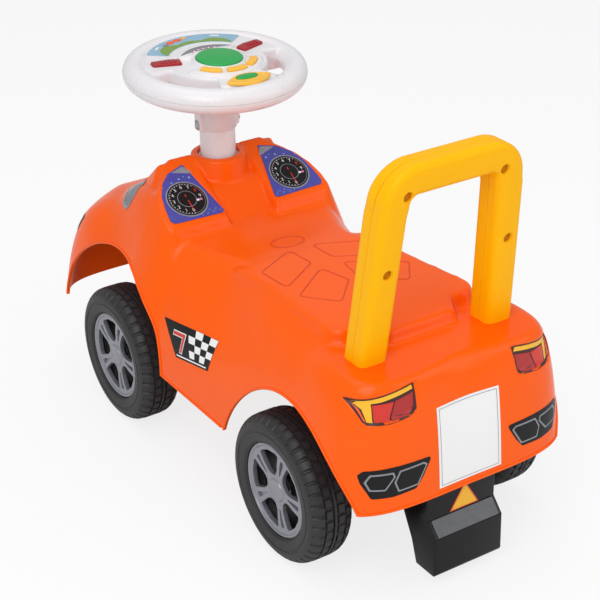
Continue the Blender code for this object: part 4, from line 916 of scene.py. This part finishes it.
def button_outlines():
    """Name, outline, finish and height of the deck round each button."""
    high = DECK_TOP + CONSOLE_RISE
    found = [("horn_button", circle(HORN_X, 0, HORN_R, 96), GREEN, high)]
    for number, middle in enumerate((radians(136), radians(180), radians(224)), 1):
        outline = soft_sector(TUNE_REACH - TUNE_HALF, TUNE_REACH + TUNE_HALF, middle - 0.31, middle + 0.31,
                              0.0024, HORN_X, 8)
        found.append(("tune_button_%d" % number, outline, BUTTON, high))
    blade = rounded(mm(-7, -15, 6, -16, 8.5, -4, 7, 16, -4, 15),
                    0.0026, 5)
    for side, word in SIDES:
        found.append(("signal_key_" + word, at_key(mirrored(blade, side), side), RED, DECK_TOP))
    found.append(("start_button", oval(START_X, 0, 0.006, 0.0124, 48), GREEN, DECK_TOP))
    return found


def make_wheel_half(upper, holes):
    sign = 1 if upper else -1
    name = "wheel_top" if upper else "wheel_bottom"
    half = raw(name, wheel_half(name, sign))
    upright = Matrix.Rotation(-STEER_TILT, 4, "Y") @ Matrix.Translation((0, 0, -STEER_Z))
    if upper:
        base, high = DECK_TOP, DECK_TOP + CONSOLE_RISE
        rows = ((0.003, base - 0.002), (0.003, base + 0.0001), (0.0016, base + 0.0004),
                (0.0007, base + 0.0012), (0.0, high - 0.0011), (-0.0004, high - 0.0004), (-0.0012, high))
        cut(half, layered("console", console, rows), "UNION")
    for side in (1, -1):
        sleeve = [[(x, y, h or sign * GAP / 2) for x, y, h in ring] for ring in opening_rings(side, 0.0018)
                  if 0.0 <= sign * ring[0][2] < DECK_TOP - 0.0005]
        cut(half, stack("sleeve", sleeve), "UNION")
    if not upper:
        bay = rounded(box(0.0264, -0.027, 0.0562, 0.027), 0.004, 5)
        cut(half, prism("belly", grown(bay, 0.0022), -DECK_TOP - 0.006, -0.009), "UNION")
        cut(half, prism("bay", bay, -0.05, -0.0085))
        foot, top = COLLAR_FOOT, STEER_Z - 0.0115
        collar = [(0, foot), (COLLAR_R - 0.0008, foot), (COLLAR_R, foot + 0.001), (COLLAR_R, top - 0.003),
                  (COLLAR_R + 0.0008, top - 0.001), (COLLAR_R + 0.002, top), (0, top)]
        cut(half, lathe("collar", collar, 96, upright), "UNION")
        lug = rounded(box(-LUG_HALF, -LUG_REACH, LUG_HALF, LUG_REACH), 0.0018, 4)
        rows = ((-0.0012, foot - 0.0006), (0, foot + 0.0008), (0, top))
        cut(half, layered("lugs", lambda grow: grown(lug, grow), rows, upright), "UNION")
        cut(half, lathe("socket", mm(0, 200, 19.3, 200, 19.3, 343.3, 0, 343.3), 96, upright))
        sink = mm(0, 0, 5.4, 0, 5.4, 20, 0, 20)
        for side in (1, -1):
            place = upright @ Matrix.Translation((0, side * (LUG_REACH - LUG_SINK), BOLT_Z))
            cut(half, lathe("sink", sink, 40, place @ Matrix.Rotation(-side * pi / 2, 4, "X")))
    for side in (1, -1):
        cut(half, stack("opening", opening_rings(side)))
    if upper:
        for hole in holes:
            cut(half, prism("hole", grown(hole, GAP), 0.0, 0.05))
    bevel(half, 0.0006, 48)
    piece = add(name, settled(name, half, PLANE), WHITE, "steering", 40)
    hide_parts("steering_wheel_upper" if upper else "steering_wheel_lower")


def make_picture():
    """The display: a sky, two hills and a few plain shapes, with a white frame."""
    base = DECK_TOP + GAP
    top = base + 0.0006
    border = soft_sector(0.0478, 0.0738, radians(-53.5), radians(53.5), 0.0032, 0.0, 24)
    inside = soft_sector(0.049, 0.0725, radians(-52), radians(52), 0.0025, 0.0, 24)
    flat_plate("display_frame", border, base - 0.0006, base + 0.0002, WHITE)
    piece = flat_plate("display_sky", inside, base, top, PRINT_SKY)
    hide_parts("display_panel")
    inner, steps = 0.0495, 18
    for number, (start, end, rise) in enumerate(((-51, -12, 0.0095), (-20, 24, 0.006), (14, 51, 0.012))):
        crest = []
        for i in range(steps + 1):
            angle = radians(start + (end - start) * i / steps)
            reach = inner + 0.0012 + rise * sin(pi * i / steps) ** 0.7
            crest.append((reach * cos(angle), reach * sin(angle)))
        outline = crest + arc(0, 0, inner, radians(end), radians(start), steps)
        high = top + 0.0001 + 0.00006 * number
        flat_plate("display_hill_%d" % (number + 1), outline, top, high, PRINT_GREEN)
    shapes = ((8, 0.0655, 0.006, 0.003, PRINT_ORANGE), (17, 0.0648, 0.005, 0.0034, PRINT_ORANGE),
              (25, 0.063, 0.0036, 0.0026, PRINT_GREY), (0, 0.0672, 0.004, 0.0016, PRINT_YELLOW),
              (-30, 0.066, 0.005, 0.0012, PRINT_WHITE), (36, 0.0668, 0.0045, 0.0012, PRINT_WHITE))
    for number, (angle, reach, long_half, short_half, finish) in enumerate(shapes):
        outline = turned(oval(reach, 0, short_half, long_half, 28), radians(angle))
        high = top + 0.0004 + 0.00004 * number
        flat_plate("display_shape_%d" % (number + 1), outline, top, high, finish)


def make_dark_print():
    """The grey crescent ahead of the horn, with a row of dots."""
    low = DECK_TOP + CONSOLE_RISE
    crescent = arc(HORN_X, 0, 0.0403, radians(-50), radians(50), 28)
    for i in range(1, 28):
        angle = radians(50 - 100 * i / 28)
        reach = 0.0403 - 0.0108 * cos(angle * 1.75)
        crescent.append((HORN_X + reach * cos(angle), reach * sin(angle)))
    flat_plate("crescent", crescent, low, low + 0.0002, PRINT_GREY)
    dots = arc(HORN_X, 0, 0.0325, radians(-22), radians(34), 10)
    for number, (cx, cy) in enumerate(dots):
        finish = PRINT_PINK if number % 2 else PRINT_WHITE
        flat_plate("crescent_dot_%d" % (number + 1), circle(cx, cy, 0.0011, 12), low + 0.0002, low + 0.0004,
                   finish)


def make_steering_wheel():
    buttons = button_outlines()
    for upper in (True, False):
        make_wheel_half(upper, [outline for label, outline, finish, level in buttons])
    for label, outline, finish, level in buttons:
        crown = 0.0012 if label == "horn_button" else 0.0005
        top = level + (0.0036 if label == "start_button" else 0.0026)
        piece = dome(label + "_cap", outline, level - 0.0045, top, crown, finish, label)
        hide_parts(label)
        if label.startswith("signal"):
            side = 1 if label.endswith("left") else -1
            bar = rounded(box(-0.0034, -0.0012, 0.0042, 0.0012), 0.0008, 3)
            for number, shift in enumerate((-0.0085, -0.004, 0.0005, 0.005), 1):
                flat_plate("%s_rib_%d" % (label, number), at_key([(x, y + shift) for x, y in bar], side),
                           top, top + 0.0011, RED, label, 0.0005)
    high = DECK_TOP + CONSOLE_RISE
    ring = [(HORN_R + r, high + h) for r, h in ((0.0006, -0.001), (0.0006, 0.0008), (0.0012, 0.0013),
                                                (0.0022, 0.0013), (0.003, 0.0008), (0.0034, -0.001))]
    place = PLANE @ Matrix.Translation((HORN_X, 0, 0))
    add("horn_ring", lathe("horn_ring", ring, 120, place), WHITE, "steering", 50)
    make_picture()
    make_dark_print()
    low = GRIP_R + GAP
    rows = ((0.0, low - 0.0008), (0.0, low + 0.001), (-0.0006, low + 0.002), (-0.0016, low + 0.0024),
            (-0.0034, low + 0.0022), (-0.0042, low + 0.0016))
    bezel = raw("bezel", layered("bezel", leaf, rows))
    cut(bezel, prism("hole", oval(START_X, 0, 0.0064, 0.0128, 48), 0.0, 0.05))
    piece = add("bezel", settled("bezel", bezel, PLANE), BUTTON, "steering")
    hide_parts("button_surround")
    column = mm(16.5, 90, 19, 90, 19, 343, 16.5, 343)
    piece = add("column_tube", lathe("column_tube", column, 96, COLUMN_PLACE), WHITE, "steering")
    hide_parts("steering_column")


make_steering_wheel()


# Prints on the body, with how far each layer stands off it
LIFT_BASE = 0.0003
LIFT_LINE = 0.0005
LIFT_SECOND = 0.0006
LIFT_LAMP = 0.0007
LIFT_TOP = 0.0009


def on_skin(name, outline, place, finish, lift=LIFT_BASE, spacing=0.003):
    """A thin print cast on the body; place(a, b, far) is the point above it for outline point (a, b)."""
    along = (place(0, 0, 0) - place(0, 0, 1)).normalized()
    work = bmesh.new()
    work.faces.new([work.verts.new((a, b, 0)) for a, b in outline])
    for axis in (0, 1):
        low, high = min(p[axis] for p in outline), max(p[axis] for p in outline)
        normal = Vector((1 - axis, axis, 0))
        for i in range(1, int((high - low) / spacing) + 1):
            bmesh.ops.bisect_plane(work, geom=work.verts[:] + work.edges[:] + work.faces[:],
                                   plane_co=normal * (low + i * spacing), plane_no=normal)
    for vert in list(work.verts):
        spot, normal = skin.ray_cast(place(vert.co.x, vert.co.y, 1), along)[:2]
        if spot is None:
            work.verts.remove(vert)
            continue
        if normal.dot(along) > 0:
            normal = -normal
        vert.co = spot + (normal - along * 0.5).normalized() * lift
    bmesh.ops.recalc_face_normals(work, faces=work.faces)
    facing = sum((face.normal for face in work.faces), Vector())
    if facing.dot(along) > 0:
        bmesh.ops.reverse_faces(work, faces=work.faces)
    mesh = bpy.data.meshes.new(name)
    work.to_mesh(mesh)
    work.free()
    return add(name, mesh, finish, "car", 60)


def lay_band(name, points, width, place, finish, lift, closed=True, spacing=0.003):
    """Four-cornered prints that follow a line of points."""
    for i, end in enumerate(points[1:] + (points[:1] if closed else [])):
        a, b = Vector(points[i]), Vector(end)
        along = (b - a).normalized()
        across = Vector((-along.y, along.x)) * width / 2
        a, b = a - along * width / 2, b + along * width / 2
        strip = [a - across, b - across, b + across, a + across]
        on_skin("%s_%d" % (name, i + 1), strip, place, finish, lift, spacing)


def from_behind(side):
    return lambda a, b, far: Vector((AX - 0.2 if far else AX, side * a, b))


def from_side(side):
    return lambda a, b, far: Vector((AX + a, side * (0.3 if far else 0.1), b))


def from_above(a, b, far):
    return Vector((AX + a, b, 0.5 if far else 0.2))


def from_front(side):
    return lambda a, b, far: Vector((AX + (0.6 if far else 0.3), side * a, b))


LAMP_EDGE = mm(113.5, 212.2, 59, 222, 55.5, 220.8, 57.5, 199, 60.5, 195.5, 66, 193.5, 84.4, 191.2, 103.5,
               191.4, 107.2, 195)
LAMP_YELLOW = mm(110.5, 211.2, 59, 220.5, 57.5, 216, 90, 210.5, 97.5, 209.8, 98.5, 193, 103, 193.2, 104.5,
                 205)
LAMP_TIP = mm(110, 210, 106.2, 205, 104.2, 193.8, 106.2, 195.8)
LAMP_BRIGHT = mm(96.8, 208.5, 77.8, 209.2, 84.6, 193, 97.4, 193)
LAMP_DARK = mm(76.4, 209.6, 57.8, 213.2, 59.5, 199.5, 62, 196.8, 66.8, 195, 83.2, 193)
LAMP_PRINTS = (("edge", rounded(LAMP_EDGE, 0.0012, 3), PRINT_BROWN, LIFT_BASE),
               ("yellow", LAMP_YELLOW, PRINT_YELLOW, LIFT_LAMP), ("tip", LAMP_TIP, PRINT_ORANGE, LIFT_TOP),
               ("bright", LAMP_BRIGHT, PRINT_RED, LIFT_LAMP), ("dark", LAMP_DARK, PRINT_DARK_RED, LIFT_LAMP))
EXHAUST = mm(115.5, 145, 111, 149, 88, 149, 43.5, 148, 54, 130.5, 62, 120.7, 86, 119, 106, 120.5, 114, 137)
PIPES = (mm(106.2, 145.2, 84.6, 144, 83.2, 138.9, 93.1, 127, 107.5, 129, 111.2, 138.1),
         mm(78.7, 144.1, 53.5, 144.9, 49, 142, 60, 124, 81, 123, 84.5, 133.5))
LABEL = mm(35.7, 191.5, -35.7, 191.5, -36, 110.5, 36, 110.5)
SIDE_PRINT = mm(225, 159, 129, 171, 131.7, 140, 190.5, 129.6)
SCREEN = mm(360, 0, 359, 45, 348, 80, 338, 95, 345, 99, 362, 94, 386, 70, 392, 0)
HEADLAMP = mm(62, 186, 110, 190, 116, 172, 98, 160, 66, 166)


def make_tail_prints():
    for side, word in SIDES:
        place = from_behind(side)
        for label, outline, finish, lift in LAMP_PRINTS:
            on_skin("lamp_%s_%s" % (word, label), outline, place, finish, lift)
        on_skin("exhaust_" + word, rounded(EXHAUST, 0.003, 4), place, PRINT_BLACK)
        for number, pipe in enumerate(PIPES, 1):
            inside = rounded(grown(pipe, -0.0016), 0.0012, 3)
            on_skin("exhaust_%s_ring_%d" % (word, number), rounded(pipe, 0.0015, 3), place, PRINT_STEEL,
                    LIFT_SECOND)
            on_skin("exhaust_%s_pipe_%d" % (word, number), inside, place, PRINT_BLACK, LIFT_TOP)
    place = from_behind(1)
    on_skin("label", LABEL, place, PRINT_WHITE, LIFT_BASE, 0.006)
    inner = [(y * 0.92, 0.151 + (z - 0.151) * 0.94) for y, z in LABEL]
    lay_band("label_line", inner, 0.0005, place, PRINT_GREY, LIFT_LINE, True, 0.006)


def side_spot(back, up):
    """A spot on the side print: share of its length from the front, share of its height from the bottom."""
    front_top, rear_top, rear_low, front_low = (Vector(corner) for corner in SIDE_PRINT)
    return tuple(front_low.lerp(rear_low, back).lerp(front_top.lerp(rear_top, back), up))


def make_side_prints():
    """A black print with a plain digit and rows of squares on each side."""
    for side, word in SIDES:
        place = from_side(side)
        on_skin("side_print_" + word, SIDE_PRINT, place, PRINT_BLACK)
        patches = [("side_square_%s_%d%d" % (word, row + 1, column + 1),
                    box(0.46 + 0.135 * column, 0.16 + 0.21 * row, 0.595 + 0.135 * column, 0.37 + 0.21 * row))
                   for row in range(4) for column in range(4) if (row + column) % 2 == 0]
        patches.append(("side_stripe_" + word, box(0.06, 0.06, 0.94, 0.1)))
        for name, patch in patches:
            on_skin(name, [side_spot(*corner) for corner in patch], place, PRINT_WHITE, LIFT_SECOND)
        digit = ((0.17, 0.7), (0.37, 0.7), (0.23, 0.24))
        if side < 0:
            digit = ((0.37, 0.7), (0.17, 0.7), (0.31, 0.24))
        line = [side_spot(*corner) for corner in digit]
        for finish, width, lift in ((PRINT_WHITE, 0.0054, LIFT_SECOND), (PRINT_RED, 0.0034, LIFT_TOP)):
            lay_band("digit_%s_%s" % (word, finish.name), line, width, place, finish, lift, False)


def make_front_prints():
    screen = SCREEN + mirrored(SCREEN[-2:0:-1], -1)
    on_skin("windscreen", rounded(screen, 0.005, 4), from_above, PRINT_GLASS)
    lay_band("windscreen_edge", rounded(screen, 0.005, 1), 0.0022, from_above, PRINT_STEEL, LIFT_LINE)
    for side, word in SIDES:
        name = "headlamp_%s_" % word
        place = from_front(side)
        on_skin(name + "edge", rounded(HEADLAMP, 0.004, 4), place, PRINT_BLACK)
        on_skin(name + "glass", rounded(grown(HEADLAMP, -0.0025), 0.003, 4), place, PRINT_WHITE, LIFT_SECOND)
        on_skin(name + "ball", circle(0.09, 0.176, 0.0085, 24), place, PRINT_STEEL, LIFT_TOP)


def make_seat_lines():
    """The pads drawn in the saddle by a thin raised line, in a darker orange that is painted shade standing
    in for the shade of the moulded groove.
    """
    pads = {"oval": oval(0.1802, 0, 0.014, 0.018, 48)}
    front = mm(157.5, 13, 117.5, 12.7, 82.5, 64, 129, 64)
    rear = mm(100.5, 13, 62, 6, 25, 40, 60, 65)
    for side, word in SIDES:
        pads["front_" + word] = mirrored(rounded(front, 0.0055, 5), side)
        pads["rear_" + word] = mirrored(rounded(rear, 0.0055, 5), side)
    for name, corners in pads.items():
        line = []
        for i, (x, y) in enumerate(corners):
            ax, ay = corners[i - 1]
            steps = max(1, int(hypot(x - ax, y - ay) / 0.003))
            for share in (k / steps for k in range(1, steps + 1)):
                spot = Vector((AX + ax + (x - ax) * share, ay + (y - ay) * share, 0.4))
                hit = skin.ray_cast(spot, Vector((0, 0, -1)))[0]
                if hit:
                    line.append(hit - Vector((0, 0, 0.00015)))
        tube("seat_line_" + name, line, 0.0007, ORANGE_GROOVE_SHADE, 6, True)


make_tail_prints()
make_side_prints()
make_front_prints()
make_seat_lines()


# Gauges on the dashboard pods
GAUGE = mm(76.5, 46.8, 76.5, 49, 70, 68, 59, 80, 44.5, 88, 29, 91.7, 12.5, 93.8, 8.2, 90.5, 6.5, 34.5, 9.2,
           31.6)
GAUGE_TIP = mm(73.5, 47.5, 74.5, 49.5, 70, 64, 63.5, 44, 65, 42.5)
DOTS = ((0.062, 0.0535), (0.0575, 0.07), (0.059, 0.048), (0.054, 0.082), (0.056, 0.064), (0.06, 0.06))
DIAL = (0.0335, 0.0636)
DIAL_R = 0.0228
NUMBER_R = 0.0154
NUMBER_SIZE = 0.0054
SHEET_TOP = 0.0007
MARK_TOP = 0.00085
DISCS = ((DIAL_R, 0.001, PRINT_STEEL), (DIAL_R - 0.0014, 0.0011, PRINT_BLACK),
         (DIAL_R - 0.003, 0.0012, PRINT_STEEL), (DIAL_R - 0.0034, 0.0013, PRINT_BLACK),
         (0.0105, 0.0014, PRINT_STEEL), (0.0099, 0.0015, PRINT_BLACK))


def make_gauge(side, word):
    slope = atan2(POD_TOP[1] - POD_FOOT[1], POD_TOP[0] - POD_FOOT[0])
    face = Matrix.Translation((AX + POD_FOOT[0], 0, POD_FOOT[1])) @ Matrix.Rotation(-slope, 4, "Y")
    centre = face @ Matrix.Translation((DIAL[0], side * DIAL[1], 0))

    def plate(name, points, low, high, finish, matrix=centre):
        return flat_plate("gauge_%s_%s" % (word, name), points, low, high, finish, "car", 0.0, matrix)

    piece = plate("sheet", rounded(mirrored(GAUGE, side), 0.0026, 4), GAP, SHEET_TOP, PRINT_BLUE, face)
    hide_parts("gauge_panel_" + word)
    plate("tip", mirrored(GAUGE_TIP, side), SHEET_TOP, MARK_TOP, PRINT_STEEL, face)
    for number, (radius, high, finish) in enumerate(DISCS, 1):
        plate("disc_%d" % number, circle(0, 0, radius, 72), SHEET_TOP, high, finish)
    for number in range(28):
        tick = turned(box(0.0182, -0.00018, 0.0194, 0.00018), radians(180 - 10 * number))
        plate("tick_%d" % (number + 1), tick, 0.0012, 0.0016, PRINT_RED if number > 22 else PRINT_WHITE)
    for number in range(10):
        angle = radians(180 - 30 * number)
        curve = bpy.data.curves.new("number", "FONT")
        curve.body = str(number)
        curve.size = NUMBER_SIZE
        curve.align_x = "CENTER"
        curve.align_y = "CENTER"
        spot = Matrix.Translation((NUMBER_R * cos(angle), NUMBER_R * sin(angle), 0.0016))
        made = settled("number", raw("number", curve), centre @ spot @ Matrix.Rotation(-pi / 2, 4, "Z"))
        add("gauge_%s_number_%d" % (word, number), made, PRINT_RED if number == 8 else PRINT_WHITE, "car")
    needle = mm(-5.5, -0.5, 16, -0.35, 16, 0.35, -5.5, 0.5)
    plate("needle", turned(needle, radians(-179)), 0.0016, 0.0019, PRINT_RED)
    plate("hub", circle(0, 0, 0.0021, 24), 0.0015, 0.0021, PRINT_BLACK)
    plate("window_1", box(-0.0058, -0.0122, -0.0034, -0.0092), 0.0015, 0.0017, PRINT_WHITE)
    plate("window_2", box(-0.0058, -0.0158, -0.0034, -0.0128), 0.0015, 0.0017, PRINT_PINK)
    for number, (a, b) in enumerate(DOTS):
        dot = circle(a, side * b, 0.0006 + 0.0003 * (number % 3), 10)
        plate("dot_%d" % (number + 1), dot, SHEET_TOP, MARK_TOP, PRINT_SKY, face)
    for number in range(14):
        a = 0.0095 + 0.0017 * (number % 4)
        b = side * (0.035 + 0.0036 * (number // 2) + 0.0008 * (number % 3))
        half = 0.0006 + 0.0003 * (number % 3)
        dash = box(a - 0.0002, b - half, a + 0.0002, b + half)
        plate("dash_%d" % (number + 1), dash, SHEET_TOP, MARK_TOP, PRINT_SKY, face)


for side, word in SIDES:
    make_gauge(side, word)


# Anti-tip block
def make_block():
    top = 0.0977
    outline = [(-0.099, 0.012), (-0.126, 0.012), (-0.128, 0.015), (-0.127, 0.054), (-0.114, 0.068),
               (-0.114, top), (-0.062, top), (-0.062, top - 0.012), (-0.076, top - 0.034), (-0.091, 0.036)]
    hollow = [(-0.125, 0.015), (-0.124, 0.053), (-0.111, 0.067), (-0.111, top - 0.003), (-0.02, top - 0.003),
              (-0.02, 0.015)]
    block = raw("block", side_prism("block", outline, -0.04, 0.04))
    cut(block, side_prism("inside", hollow, -0.037, 0.037))
    bevel(block, 0.0012, 28)
    piece = add("tip_block", settled("tip_block", block), BLACK, "car")
    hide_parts("anti_tip_block")
    slope, length = atan2(0.014, 0.013), hypot(0.014, 0.013)
    place = Matrix.Translation((AX - 0.127, 0, 0.054)) @ Matrix.Rotation(-slope, 4, "Y")
    strip = rounded(box(0.001, -0.036, length - 0.001, 0.036), 0.001, 3)
    piece = flat_plate("strip", strip, GAP, 0.001, REFLECTOR, "car", 0.0, place)
    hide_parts("reflector_strip")
    face = Matrix.Translation((AX - 0.114, 0, 0)) @ Matrix(((0, 0, -1, 0), (1, 0, 0, 0), (0, -1, 0, 0),
                                                            (0, 0, 0, 1)))
    triangle = [(-0.0205, -0.069), (-0.0035, -0.097), (0.0135, -0.069)]
    field = grown(triangle, -0.0014)
    flat_plate("triangle_edge", triangle, 0.0001, 0.0003, PRINT_ORANGE, "car", 0.0, face)
    flat_plate("triangle_field", field, 0.0003, 0.0005, PRINT_YELLOW, "car", 0.0, face)


make_block()


# Finishes of the solids that stay
KEPT = {"steel": STEEL, "black_plastic": BLACK, "white_plastic": WHITE, "board": BOARD, "cell": CELL,
        "speaker": MATT, "print_blue": PRINT_BLUE}
slots = {part["node"]: part["material_slot"] for part in frame["record"]["subparts"]}
for name, thing in frame["nodes"].items():
    finish = HOLE if name.startswith("handle_screw") else KEPT.get(slots.get(name, ""))
    if finish is None:
        continue
    if not thing.material_slots:
        thing.data.materials.append(finish)
    for slot in thing.material_slots:
        slot.link = "OBJECT"
        slot.material = finish


# Stage, light and camera
def cleared(holder, output):
    """The emptied node tree of a material or world, and its output."""
    holder.use_nodes = True
    holder.node_tree.nodes.clear()
    return holder.node_tree, node(holder.node_tree, output)


def make_stage():
    floor = mesh_of("floor", [(x, y, -0.0005) for x, y in box(-6, -6, 6, 6)], [(0, 1, 2, 3)])
    finish = bpy.data.materials.new("floor")
    tree, end = cleared(finish, "OutputMaterial")
    matt = node(tree, "BsdfDiffuse", Color=(0.9, 0.9, 0.9, 1))
    white = node(tree, "Emission", Strength=1.0)
    rays = node(tree, "LightPath")
    share = node(tree, "Math", operation="MULTIPLY")
    share.inputs[1].default_value = 0.8
    mix = node(tree, "MixShader")
    wire(tree, (rays, "Is Camera Ray", share, 0), (share, 0, mix, 0), (matt, 0, mix, 1), (white, 0, mix, 2),
         (mix, 0, end, "Surface"))
    thing = add("floor", floor, finish)
    world = bpy.data.worlds.new("studio")
    bpy.context.scene.world = world
    tree, end = cleared(world, "OutputWorld")
    dim = node(tree, "Background", Color=(1, 1, 1, 1), Strength=0.5)
    bright = node(tree, "Background", Color=(1, 1, 1, 1), Strength=1.0)
    rays = node(tree, "LightPath")
    pick = node(tree, "MixShader")
    wire(tree, (rays, "Is Camera Ray", pick, 0), (dim, 0, pick, 1), (bright, 0, pick, 2),
         (pick, 0, end, "Surface"))


def lamp(name, place, aim, size, power):
    data = bpy.data.lights.new(name, "AREA")
    data.shape = "RECTANGLE"
    data.size, data.size_y = size
    data.energy = power
    made = raw(name, data)
    made.location = place
    made.rotation_euler = (Vector(aim) - Vector(place)).to_track_quat("-Z", "Y").to_euler()


def make_camera():
    azimuth, elevation, roll = radians(-33.09), radians(-27.81), radians(-0.66)
    forward = Vector((cos(elevation) * cos(azimuth), cos(elevation) * sin(azimuth), sin(elevation)))
    level = forward.cross(Vector((0, 0, 1))).normalized()
    right = cos(roll) * level + sin(roll) * level.cross(forward)
    data = bpy.data.cameras.new("camera")
    focal_pixels, photo_pixels, sensor = 1603.5, 600, 36
    data.lens = focal_pixels * sensor / photo_pixels
    data.sensor_width = sensor
    data.clip_start = 0.05
    made = raw("camera", data)
    turn = Matrix((right, right.cross(forward), -forward)).transposed().to_4x4()
    made.matrix_world = Matrix.Translation((-1.2455, 0.8008, 0.9439)) @ turn
    bpy.context.scene.camera = made


make_stage()
lamp("key", (-1.3, 1.5, 1.9), (0, 0, 0.2), (1.6, 1.6), 27)
lamp("fill", (-1.8, -1.2, 1.2), (0, 0, 0.2), (1.8, 1.4), 10)
lamp("top", (0.3, 0.2, 2.4), (0, 0, 0.1), (2.2, 1.8), 15)
make_camera()
bpy.context.scene.view_settings.view_transform = "Standard"
